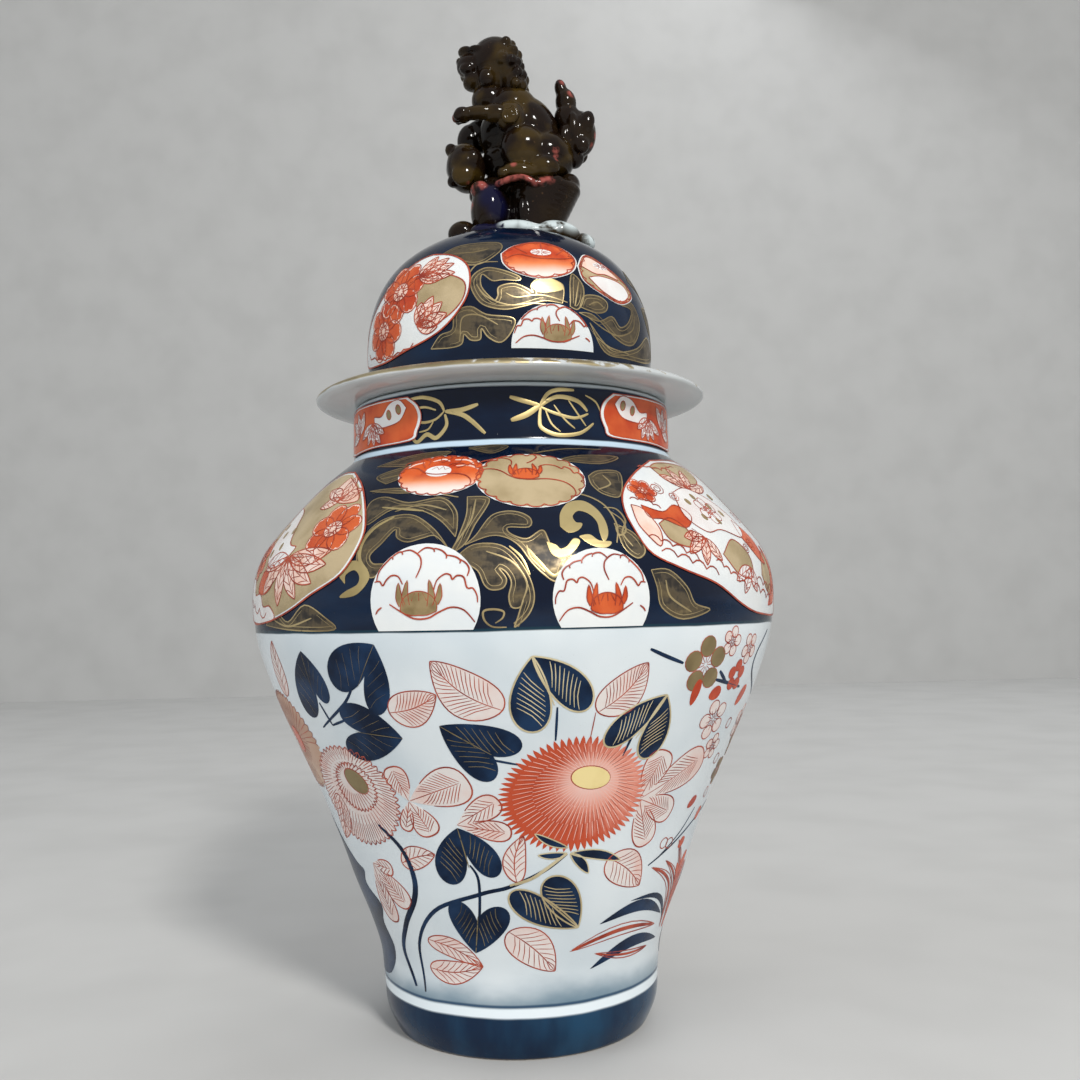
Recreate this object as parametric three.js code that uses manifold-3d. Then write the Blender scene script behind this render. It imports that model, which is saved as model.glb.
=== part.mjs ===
// A covered porcelain jar: a thrown baluster body on a foot ring, a domed lid with a wide
// brim and an inner locating collar, and a hand-modelled guardian lion as the lid's finial.
// Millimetres, +Z up. The origin is the centre of the foot ring, on the surface it stands on.

import * as THREE from 'three';
import { mergeVertices } from 'three/addons/utils/BufferGeometryUtils.js';
import Module from 'manifold-3d';

const wasm = await Module();
wasm.setup();

// ---------------------------------------------------------------- driving dimensions

const JOINT_GAP = 0.3; // slip joint or resting gap between two touching pieces
const TURNS = 36; // flats round each thrown piece

const FOOT_INNER_RADIUS = 39.5;
const FOOT_OUTER_RADIUS = 43.6;
const FOOT_RECESS_DEPTH = 7;
const FLOOR_TOP = 14.5; // inside bottom of the jar
const INSIDE_CURVE_TOP = 30; // where the round inside corner meets the wall

const BELLY_RADIUS = 91.6;
const BELLY_HEIGHT = 143;
const NECK_RADIUS = 56.6;
const NECK_START = 196.5;
const NECK_RIM = 214.6;
const WALL = 5.3;

const LID_SEAT = NECK_RIM + 0.4; // underside of the brim
const BRIM_RADIUS = 70;
const BRIM_THICKNESS = 4.6;
const LID_BORE_RADIUS = 45.6;
const DOME_RADIUS = 51.5;
const DOME_SPRING = 236; // height where the dome's wall starts to lean in
const DOME_TOP = 279.5;
const DOME_WALL = 5.6;

const COLLAR_RADIUS = 49.6;
const COLLAR_DEPTH = 15;

const LUMP_SIDES = 11; // flats round, and bands over, each pressed lump of clay
const LUMP_BANDS = 7;

const FINIAL_X = 5; // the rockwork stands a little to one side of the dome's centre

// ---------------------------------------------------------------- materials

function glaze(name, colour, roughness) {
  return new THREE.MeshStandardMaterial({ name, color: colour, roughness, metalness: 0 });
}

const bodyGlaze = glaze('painted_body', 0xdfe3ea, 0.2);
const lidGlaze = glaze('painted_lid', 0x182444, 0.2);
const bareGlaze = glaze('plain_glaze', 0xd9dad6, 0.3);
const rockGlaze = glaze('rock_glaze', 0x2a1d1c, 0.18);
const lionGlaze = glaze('lion_glaze', 0x2b2116, 0.18);

// ---------------------------------------------------------------- thrown pieces

const point = ([radius, height]) => new THREE.Vector2(radius, height);

// A smooth outline through a few [radius, height] points.
function curve(points, steps) {
  return new THREE.SplineCurve(points.map(point)).getPoints(steps);
}

// A round edge from one point to another that bulges by a share of its length.
function roundEdge(from, to, middle, steps) {
  const edge = new THREE.QuadraticBezierCurve(point(from), point(middle), point(to));
  return edge.getPoints(steps).slice(1, -1);
}

// Spins an outline about the vertical axis.
function thrown(outline) {
  const geometry = new THREE.LatheGeometry(outline, TURNS);
  geometry.rotateX(Math.PI / 2);
  return geometry;
}

function jarOutside(steps) {
  return curve([
    [44.6, 1.2], [47.4, 8], [48.2, 17], [49.2, 27], [52.6, 38], [57.8, 51], [62.8, 65],
    [68.8, 80], [75.6, 95], [82.4, 110], [87.4, 123], [90.5, 133],
    [BELLY_RADIUS, BELLY_HEIGHT], [91.2, 153], [88.2, 162], [82.4, 170], [75.4, 178],
    [67.6, 186.5], [NECK_RADIUS + 1.2, 194.6],
  ], steps);
}

function jarBody() {
  const outside = jarOutside(22);
  const inside = jarOutside(11)
    .filter((p) => p.y > INSIDE_CURVE_TOP)
    .map((p) => new THREE.Vector2(p.x - WALL, p.y))
    .reverse();
  const neckBore = NECK_RADIUS - WALL;
  return thrown([
    point([0, FOOT_RECESS_DEPTH]),
    point([FOOT_INNER_RADIUS - 2, FOOT_RECESS_DEPTH]),
    point([FOOT_INNER_RADIUS - 0.5, FOOT_RECESS_DEPTH - 1.2]),
    point([FOOT_INNER_RADIUS, 0]),
    point([FOOT_OUTER_RADIUS, 0]),
    ...outside,
    point([NECK_RADIUS, NECK_START]),
    point([NECK_RADIUS, NECK_RIM - 1]),
    point([NECK_RADIUS - 0.8, NECK_RIM]),
    point([neckBore + 0.8, NECK_RIM]),
    point([neckBore, NECK_RIM - 1]),
    point([neckBore, NECK_START - 1]),
    ...inside,
    point([40, 22]),
    point([33, 16]),
    point([0, FLOOR_TOP]),
  ]);
}

function domeOutside(steps) {
  return curve([
    [51.1, 222.6], [DOME_RADIUS, DOME_SPRING], [50.6, 246], [47.2, 256], [41.8, 264],
    [34.6, 270], [25, 275], [13, 278.5], [0, DOME_TOP],
  ], steps);
}

function lid() {
  const brimTop = LID_SEAT + BRIM_THICKNESS;
  const boreShare = 1 - DOME_WALL / DOME_RADIUS;
  const inside = domeOutside(9)
    .map((p) => {
      const lean = Math.max(0, p.y - DOME_SPRING) / (DOME_TOP - DOME_SPRING);
      return new THREE.Vector2(p.x * boreShare, p.y - DOME_WALL * lean);
    })
    .reverse();
  return thrown([
    ...inside,
    point([LID_BORE_RADIUS, LID_SEAT]),
    point([NECK_RADIUS + 1, LID_SEAT]),
    point([BRIM_RADIUS - 3.4, LID_SEAT + 0.5]),
    ...roundEdge([BRIM_RADIUS - 3.4, LID_SEAT + 0.5], [BRIM_RADIUS - 2.8, brimTop],
      [BRIM_RADIUS + 3, LID_SEAT + 2.2], 4),
    point([BRIM_RADIUS - 2.8, brimTop]),
    point([60, brimTop - 0.7]),
    point([53.2, brimTop - 0.2]),
    ...domeOutside(13),
  ]);
}

function lidCollar() {
  const top = LID_SEAT - JOINT_GAP;
  const bottom = top - COLLAR_DEPTH;
  return thrown([
    point([LID_BORE_RADIUS, bottom]),
    point([COLLAR_RADIUS - 1.2, bottom]),
    point([COLLAR_RADIUS, bottom + 1.4]),
    point([COLLAR_RADIUS, top]),
    point([LID_BORE_RADIUS, top]),
    point([LID_BORE_RADIUS, bottom]),
  ]);
}

// ---------------------------------------------------------------- modelled pieces

// Turns a closed geometry into a solid that can be joined and cut.
function solid(geometry) {
  geometry.deleteAttribute('normal');
  geometry.deleteAttribute('uv');
  const merged = mergeVertices(geometry, 1e-4);
  return new wasm.Manifold(new wasm.Mesh({
    numProp: 3,
    vertProperties: new Float32Array(merged.attributes.position.array),
    triVerts: new Uint32Array(merged.index.array),
  }));
}

// The largest body of a cut solid, as a geometry: a cut can leave crumbs.
function geometryOf(cut) {
  const bodies = cut.decompose().sort((a, b) => b.volume() - a.volume());
  const mesh = bodies[0].getMesh();
  const geometry = new THREE.BufferGeometry();
  geometry.setAttribute('position', new THREE.BufferAttribute(mesh.vertProperties, 3));
  geometry.setIndex(new THREE.BufferAttribute(mesh.triVerts, 1));
  return geometry;
}

// A pressed lump of clay: centre, half sizes, and a lean about the Y axis in degrees.
function lump([x, y, z], [rx, ry, rz], lean = 0, grow = 0) {
  const geometry = new THREE.SphereGeometry(1, LUMP_SIDES, LUMP_BANDS);
  geometry.rotateX(Math.PI / 2);
  geometry.scale(rx + grow, ry + grow, rz + grow);
  geometry.rotateY(THREE.MathUtils.degToRad(lean));
  geometry.translate(x, y, z);
  return solid(geometry);
}

// Several lumps luted together, all grown by the same amount.
function modelled(lumps, grow) {
  return lumps
    .map(([centre, half, lean]) => lump(centre, half, lean, grow))
    .reduce((whole, next) => whole.add(next));
}

// The dome's crown, raised by the joint gap, which the rockwork is cut to fit.
function domeCrown() {
  const raised = domeOutside(16).map((p) => new THREE.Vector2(p.x, p.y + JOINT_GAP));
  return solid(thrown([point([0, 250]), point([raised[0].x, 250]),
    ...raised.filter((p) => p.y > 252)]));
}

const rockBaseLumps = [
  [[FINIAL_X, 0, 277.5], [23, 18, 5.6], 2],
  [[-15, -5, 278.6], [6.5, 5.5, 4.2], -12],
  [[26, -4, 276], [4.6, 4.4, 3.6], 20],
  [[14, -12, 276.6], [9, 6, 5], 6],
  [[-3, 12, 277], [9, 6, 5], 0],
];

const rockworkLumps = [
  [[-3.5, -5, 290], [9.4, 10, 12.6], 0],
  [[-3.5, 6, 290], [9.2, 9, 12.4], 0],
  [[FINIAL_X + 2, -7, 291], [10, 8.4, 11.6], 0],
  [[14.5, -3, 291.5], [11.4, 12, 11.6], 8],
  [[14, 7, 291], [10.6, 9, 11.6], 6],
  [[FINIAL_X, 4, 291.5], [13, 10, 11], 0],
];

const bodyLumps = [
  [[0.5, 0, 325.5], [10.5, 11, 9], -20],
  [[6.5, 0, 318], [11.5, 11.5, 15], -28],
  [[13, 0, 309], [13, 13, 10.5], 10],
  [[7, -8, 309], [10.5, 7, 9.5], 15],
  [[7, 8, 309], [10.5, 7, 9.5], 15],
  [[3.5, -11, 302.6], [7.5, 4.6, 4], 0],
  [[3.5, 11, 302.6], [7.5, 4.6, 4], 0],
];

const headLumps = [
  [[-3, 0, 346], [9.8, 9.6, 9.9], 0],
  [[-12.4, 0, 345], [5.6, 6.6, 7.6], -8],
  [[2, 0, 341], [6.6, 10.4, 9.4], -18],
  [[-7.6, 0, 335.6], [7, 7, 5.6], 20],
];

const tailLumps = [
  [[25, 0, 318.4], [9, 6.4, 9.6], 0],
  [[25.4, 0, 311], [5, 5, 6], -10],
  [[21.8, 0, 331.2], [3.7, 4.4, 8.4], -12],
];

const nearForelegLumps = [
  [[-6, -9.6, 326.6], [9.4, 4.2, 4.1], 4],
  [[-15.4, -10, 325.2], [4.1, 4.6, 3.4], 0],
];

const farForelegLumps = [
  [[-10.5, 6.5, 319], [4.2, 4.2, 8.6], 26],
];

const ballLumps = [
  [[-15.6, 0, 306.4], [7, 8.6, 8.4], -6],
  [[-19.8, -2.6, 311.4], [3.4, 4, 3.2], 0],
];

// Each modelled piece is cut back by the joint gap from the pieces it is stuck to.
function fitted(lumps, neighbours) {
  return neighbours.reduce(
    (piece, neighbour) => piece.subtract(modelled(neighbour, JOINT_GAP)),
    modelled(lumps, 0),
  );
}

const rockBase = modelled(rockBaseLumps, 0).subtract(domeCrown());

// ---------------------------------------------------------------- assembly

const jar = new THREE.Group();

function piece(name, geometry, material, parent = jar) {
  const mesh = new THREE.Mesh(geometry, material);
  mesh.name = name;
  parent.add(mesh);
}

piece('jar_body', jarBody(), bodyGlaze);

const cover = new THREE.Group();
jar.add(cover);
piece('lid', lid(), lidGlaze, cover);
piece('lid_collar', lidCollar(), bareGlaze, cover);

const finial = new THREE.Group();
cover.add(finial);
const finialPieces = [
  ['finial_base', rockBase, rockGlaze],
  ['finial_rockwork', fitted(rockworkLumps, [rockBaseLumps]), rockGlaze],
  ['lion_body', fitted(bodyLumps, [rockworkLumps]), lionGlaze],
  ['lion_head', fitted(headLumps, [bodyLumps]), lionGlaze],
  ['lion_tail', fitted(tailLumps, [bodyLumps, rockworkLumps]), lionGlaze],
  ['lion_ball', fitted(ballLumps, [rockworkLumps, bodyLumps]), lionGlaze],
  ['lion_foreleg_near', fitted(nearForelegLumps, [bodyLumps, headLumps]), lionGlaze],
  ['lion_foreleg_far', fitted(farForelegLumps, [bodyLumps, ballLumps, headLumps]), lionGlaze],
];
for (const [name, cut, material] of finialPieces) {
  piece(name, geometryOf(cut), material, finial);
}

export default jar;
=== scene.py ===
"""A covered porcelain jar: a thrown baluster body painted in navy, iron red and gold, a domed
lid with a wide brim, and a glazed guardian lion on rockwork as the lid's finial."""

import math
import random
from bisect import bisect_right

import bmesh
import bpy
from mathutils import Matrix, Vector
from mathutils.geometry import interpolate_bezier


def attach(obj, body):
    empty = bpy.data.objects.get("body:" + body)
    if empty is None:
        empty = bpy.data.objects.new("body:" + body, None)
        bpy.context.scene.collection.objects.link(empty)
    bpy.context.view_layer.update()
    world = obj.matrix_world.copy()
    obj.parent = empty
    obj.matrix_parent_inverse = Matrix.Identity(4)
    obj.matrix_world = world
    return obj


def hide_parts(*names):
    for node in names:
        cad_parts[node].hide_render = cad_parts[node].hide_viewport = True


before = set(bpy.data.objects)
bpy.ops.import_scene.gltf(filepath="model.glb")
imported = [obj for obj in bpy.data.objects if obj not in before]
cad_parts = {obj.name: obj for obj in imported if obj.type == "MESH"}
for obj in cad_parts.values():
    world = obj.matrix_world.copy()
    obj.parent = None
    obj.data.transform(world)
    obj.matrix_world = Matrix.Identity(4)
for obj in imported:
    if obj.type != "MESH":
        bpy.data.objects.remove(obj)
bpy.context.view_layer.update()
MM = 0.001


# ------------------------------------------------------------------ the thrown body
# The jar itself is one thrown porcelain piece: foot ring, belly, shoulder and neck. It is
# dipped in a bluish clear glaze over bands of cobalt, which are put on as it turns.

FOOT_RECESS = 7.0
NECK_RADIUS = 56.6
NECK_RIM = 214.6
WALL_THICKNESS = 5.3
FLOOR_TOP = 14.5


def smooth_line(points, steps=6):
    """A smooth line through a few points."""
    knots = [Vector(p) for p in points]
    last = len(knots) - 1
    line = []
    for i in range(last):
        start, end = knots[i], knots[i + 1]
        leaving = (end - knots[max(i - 1, 0)]) / 6
        arriving = (knots[min(i + 2, last)] - start) / 6
        line += interpolate_bezier(start, start + leaving, end - arriving, end, steps + 1)[:-1]
    return [Vector(p[: len(knots[0])]) for p in line] + [knots[-1]]


SPIN_STEPS = 256


def spun(name, outline):
    """Spins an outline of radii and heights about the jar's axis into a closed wall."""
    bm = bmesh.new()
    verts = [bm.verts.new((r * MM, 0, z * MM)) for r, z in outline]
    edges = [bm.edges.new(pair) for pair in zip(verts, verts[1:])]
    bmesh.ops.spin(bm, geom=verts + edges, axis=(0, 0, 1), cent=(0, 0, 0),
                   angle=math.tau, steps=SPIN_STEPS, use_merge=True)
    bmesh.ops.remove_doubles(bm, verts=bm.verts, dist=1e-6)
    bmesh.ops.recalc_face_normals(bm, faces=bm.faces)
    return made(name, bm)


def made(name, bm, sharp=50):
    """Turns a finished bmesh into a smooth-shaded object that keeps its hard corners."""
    mesh = bpy.data.meshes.new(name)
    bm.to_mesh(mesh)
    bm.free()
    mesh.shade_smooth()
    mesh.set_sharp_from_angle(angle=math.radians(sharp))
    piece = bpy.data.objects.new(name, mesh)
    bpy.context.scene.collection.objects.link(piece)
    return piece


class Value:
    """A node's output; arithmetic on it adds Math nodes."""

    def __init__(self, glaze, socket):
        self.glaze = glaze
        self.socket = socket

    def maths(self, operation, first, second):
        return self.glaze.node("ShaderNodeMath", {"operation": operation}, {0: first, 1: second})

    def __add__(self, other):
        return self.maths("ADD", self, other)

    def __radd__(self, other):
        return self.maths("ADD", other, self)

    def __sub__(self, other):
        return self.maths("SUBTRACT", self, other)

    def __rsub__(self, other):
        return self.maths("SUBTRACT", other, self)

    def __mul__(self, other):
        return self.maths("MULTIPLY", self, other)

    def __rmul__(self, other):
        return self.maths("MULTIPLY", other, self)

    def __truediv__(self, other):
        return self.maths("DIVIDE", self, other)

    def root(self):
        return self.maths("SQRT", self, 0.0)

    def rise(self, low, high):
        """0 below low and 1 above high, with a soft step between."""
        steps = {"Value": self, "From Min": low, "From Max": high}
        return self.glaze.node("ShaderNodeMapRange", {"interpolation_type": "SMOOTHSTEP"}, steps)

    def between(self, low, high, soft):
        """1 between two values, with soft edges."""
        return self.rise(low - soft, low + soft) * (1 - self.rise(high - soft, high + soft))


class Glaze:
    """A glazed or enamelled surface, made of shader nodes."""

    def __init__(self, name, roughness=0.16):
        self.material = bpy.data.materials.new(name)
        self.material.use_nodes = True
        self.nodes = self.material.node_tree.nodes
        self.shader = self.nodes["Principled BSDF"]
        self.shader.inputs["Roughness"].default_value = roughness
        self.shader.inputs["Specular IOR Level"].default_value = 0.26

    def node(self, kind, settings=None, sockets=None, output=0):
        node = self.nodes.new(kind)
        for name, setting in (settings or {}).items():
            setattr(node, name, setting)
        for name, value in (sockets or {}).items():
            self.feed(node.inputs[name], value)
        return Value(self, node.outputs[output])

    def feed(self, socket, value):
        if isinstance(value, Value):
            self.material.node_tree.links.new(value.socket, socket)
        elif socket.type == "RGBA":
            socket.default_value = (*value, 1)
        else:
            socket.default_value = value

    def place(self, stretch=(1, 1, 1), source="Object"):
        """Where a point of the surface is, in metres or in the piece's own flat coordinates."""
        spot = self.node("ShaderNodeTexCoord", output=source)
        return self.node("ShaderNodeMapping", {}, {"Vector": spot, "Scale": stretch})

    def axis(self, name, source="Object", scale=1 / MM):
        """One coordinate of a point of the surface, in millimetres unless scaled otherwise."""
        spot = self.place(source=source)
        return self.node("ShaderNodeSeparateXYZ", {}, {"Vector": spot}, name) * scale

    def noise(self, scale, stretch=(1, 1, 1), detail=3.0):
        """Cloudy unevenness, from 0 to 1."""
        texture = {"Vector": self.place(stretch), "Scale": scale, "Detail": detail}
        return self.node("ShaderNodeTexNoise", {}, texture)

    def mix(self, share, first, second):
        return self.node("ShaderNodeMix", {"data_type": "RGBA"}, {0: share, 6: first, 7: second}, 2)

    def set(self, **sockets):
        """Feeds the glaze's own sockets, with _ for the spaces in their names."""
        for name, value in sockets.items():
            self.feed(self.shader.inputs[name.replace("_", " ")], value)
        return self

    def bump(self, height, depth, strength=1.0):
        """Relief too fine to model, with its depth in millimetres."""
        relief = {"Height": height, "Distance": depth * MM, "Strength": strength}
        return self.set(Normal=self.node("ShaderNodeBump", {}, relief))


WHITE_GLAZE = (0.72, 0.775, 0.80)
SHADED_GLAZE = (0.60, 0.67, 0.71)
NAVY = (0.0018, 0.0055, 0.019)
THIN_NAVY = (0.005, 0.026, 0.07)


def navy_ground(glaze):
    """Cobalt put on in wide brush bands: nearly black where it is thick, blue where thin."""
    bands = glaze.noise(22, (1, 1, 3.2), 4.0).rise(0.42, 0.78)
    pools = glaze.noise(70, (1, 1, 1), 5.0).rise(0.5, 0.85)
    return glaze.mix(bands * 0.55 + pools * 0.25, NAVY, THIN_NAVY)


def white_ground(glaze):
    """The clear glaze pools a little bluer and greyer in places."""
    return glaze.mix(glaze.noise(28, detail=2.0).rise(0.35, 0.75), WHITE_GLAZE, SHADED_GLAZE)


def glassy(glaze):
    """The faint orange peel of a wood-fired glaze, with a few pinholes."""
    peel = glaze.noise(260, detail=2.0)
    pinholes = glaze.noise(1500, detail=0.0).rise(0.80, 0.86)
    glaze.bump(peel - pinholes * 1.5, 0.05, 0.5)
    return glaze.set(Roughness=0.10 + glaze.noise(60).rise(0.4, 0.8) * 0.10)


# The bands that are painted as the body turns, as heights in millimetres.
FOOT_BAND_TOP = 14.2
WHITE_LINE_TOP = 17.4
DARK_LINE_TOP = 18.5
NAVY_START = 136.5
NECK_LINE = (194.2, 196.1)
RIM_START = 213.2


def body_glaze():
    """Porcelain white with a blue foot, a cloudy wash over it, and the navy shoulder and neck."""
    glaze = Glaze("body_glaze")
    height = glaze.axis("Z") + (glaze.noise(45, detail=2.0) - 0.5) * 0.8
    ground = white_ground(glaze)
    cloud = glaze.noise(30, (1, 1, 1.6), 4.0)
    wash = (1 - (height - cloud * 14).rise(9.5, 21)) * (0.65 + cloud * 0.5)
    ground = glaze.mix(wash, ground, (0.16, 0.245, 0.31))
    dark_line = height.between(WHITE_LINE_TOP, DARK_LINE_TOP, 0.35) * 0.9
    ground = glaze.mix(dark_line, ground, (0.02, 0.06, 0.12))
    navy = navy_ground(glaze)
    foot = glaze.mix(glaze.noise(60, (1, 1, 0.3), 4.0).rise(0.35, 0.75), (0.003, 0.016, 0.045),
                     (0.010, 0.052, 0.11))
    white_line = height.between(FOOT_BAND_TOP, WHITE_LINE_TOP, 0.5)
    ground = glaze.mix(white_line, ground, (0.80, 0.88, 0.92))
    ground = glaze.mix(1 - height.rise(FOOT_BAND_TOP - 0.5, FOOT_BAND_TOP + 0.5), ground, foot)
    ground = glaze.mix(height.rise(NAVY_START - 0.3, NAVY_START + 0.3), ground, navy)
    edge = height.between(NAVY_START - 0.2, NAVY_START + 0.7, 0.3)
    ground = glaze.mix(edge, ground, (0.004, 0.03, 0.05))
    ground = glaze.mix(height.between(*NECK_LINE, 0.35), ground, (0.52, 0.66, 0.78))
    ground = glaze.mix(height.rise(RIM_START - 0.4, RIM_START + 0.4), ground, SHADED_GLAZE)
    return glassy(glaze).set(Base_Color=ground)


def plain_glaze():
    """The clear glaze inside, which is left unpainted."""
    glaze = Glaze("plain_glaze")
    ground = glaze.mix(glaze.noise(35).rise(0.3, 0.8), (0.60, 0.62, 0.60), (0.50, 0.52, 0.51))
    return glassy(glaze).set(Base_Color=ground)


def bare_porcelain():
    """Unglazed clay, where pieces stand on one another in the kiln."""
    glaze = Glaze("bare_porcelain", roughness=0.75)
    grit = glaze.noise(900, detail=4.0)
    tint = glaze.mix(grit.rise(0.3, 0.7), (0.60, 0.54, 0.46), (0.38, 0.31, 0.24))
    return glaze.bump(grit, 0.08).set(Base_Color=tint)


BODY_OUTLINE = smooth_line([
    (44.6, 1.2), (47.4, 8), (48.2, 17), (49.2, 27), (52.6, 38), (57.8, 51), (62.8, 65),
    (68.8, 80), (75.6, 95), (82.4, 110), (87.4, 123), (90.5, 133), (91.6, 143), (91.2, 153),
    (88.2, 162), (82.4, 170), (75.4, 178), (67.6, 186.5), (57.8, 194.6),
])
neck_bore = NECK_RADIUS - WALL_THICKNESS
neck_outline = smooth_line([(NECK_RADIUS + 0.3, 196.2), (NECK_RADIUS, 204), (NECK_RADIUS, 213.6)])
inner_outline = [Vector((r - WALL_THICKNESS, z)) for r, z in BODY_OUTLINE[::2] if z > 30]

def finished(piece, body, node, slot, *glazes):
    """Gives a piece its glazes and the part of the jar that it stands for."""
    for glaze in glazes:
        piece.data.materials.append(glaze.material)
    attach(piece, body)
    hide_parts(node)


body = spun("jar_glazed_body", [
    (0, FOOT_RECESS), (37.5, FOOT_RECESS), (38.6, 6.4), (39.0, 5.4), (39.5, 0.4), (39.9, 0),
    (43.4, 0), (44.1, 0.4), *BODY_OUTLINE, *neck_outline,
    (55.9, 214.4), (55.2, NECK_RIM), (52.6, NECK_RIM), (51.6, 214.3), (neck_bore, 213.4),
    (neck_bore, 204), (neck_bore, 197), *reversed(inner_outline), (42.5, 26), (40, 21.5),
    (36, 17.5), (30, 15.2), (20, FLOOR_TOP), (0, FLOOR_TOP),
])
finished(body, "jar", "jar_body", "painted_body", body_glaze(), plain_glaze(), bare_porcelain())
for face in body.data.polygons:
    middle = face.center / MM
    radius = math.hypot(middle.x, middle.y)
    outward = face.normal.x * middle.x + face.normal.y * middle.y
    inside = outward < -0.01 or (radius < 37.5 and middle.z < 20)
    face.material_index = 2 if middle.z < 0.5 else int(inside and middle.z < 213)


# ------------------------------------------------------------------ leaves of the belly
# The painter works on the fired body with thin enamels, one colour at a time: cobalt leaves
# under the glaze, iron-red line work and washes over it, and last a fine gilt line.

class Wall:
    """The outside of a thrown piece as a sheet to paint on. A place on it is a turn in degrees,
    0 at the front and rising to the viewer's right, and a height in millimetres."""

    def __init__(self, outline, body, slot):
        self.outline = outline
        self.body = body
        self.slot = slot
        self.heights = [p.y for p in outline]
        self.lengths = [0.0]
        for start, end in zip(outline, outline[1:]):
            self.lengths.append(self.lengths[-1] + (end - start).length)
        steps = [(b - a).normalized() for a, b in zip(outline, outline[1:])]
        sides = [a + b for a, b in zip([steps[0], *steps], [*steps, steps[-1]])]
        self.normals = [Vector((side.y, -side.x)).normalized() for side in sides]

    def length_at(self, height):
        i = min(max(bisect_right(self.heights, height), 1), len(self.heights) - 1)
        share = (height - self.heights[i - 1]) / (self.heights[i] - self.heights[i - 1])
        return self.lengths[i - 1] + share * (self.lengths[i] - self.lengths[i - 1])

    def at(self, length):
        """The outline's point and outward normal at a length up the wall."""
        length = min(max(length, 0.0), self.lengths[-1])
        i = min(max(bisect_right(self.lengths, length), 1), len(self.lengths) - 1)
        share = (length - self.lengths[i - 1]) / (self.lengths[i] - self.lengths[i - 1])
        point = self.outline[i - 1].lerp(self.outline[i], share)
        return point, self.normals[i - 1].lerp(self.normals[i], share)

    def plan(self, origin, place):
        """Where a place lies from an origin, in flat millimetres along the wall."""
        length = self.length_at(place[1])
        radius = self.at(length)[0].x
        return Vector((math.radians(place[0] - origin[0]) * radius,
                       length - self.length_at(origin[1])))

    def line(self, places, origin=None):
        """A run of places in flat millimetres, from the first or from an origin."""
        return [self.plan(origin or places[0], place) for place in places]

    def wrap(self, origin, flat, lift):
        """The point in space of a flat point, lifted off the wall."""
        outline, normal = self.at(self.length_at(origin[1]) + flat[1])
        turn = math.radians(origin[0]) + flat[0] / outline.x
        radius = (outline.x + normal.x * lift) * MM
        height = (outline.y + normal.y * lift) * MM
        return Vector((radius * math.sin(turn), -radius * math.cos(turn), height))


def spread(points, gap):
    """The same line with extra points, so that none are further apart than the gap."""
    points = [Vector(p) for p in points]
    line = points[:1]
    for start, end in zip(points, points[1:]):
        parts = max(math.ceil((end - start).length / gap), 1)
        line += [start.lerp(end, (i + 1) / parts) for i in range(parts)]
    return line


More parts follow.
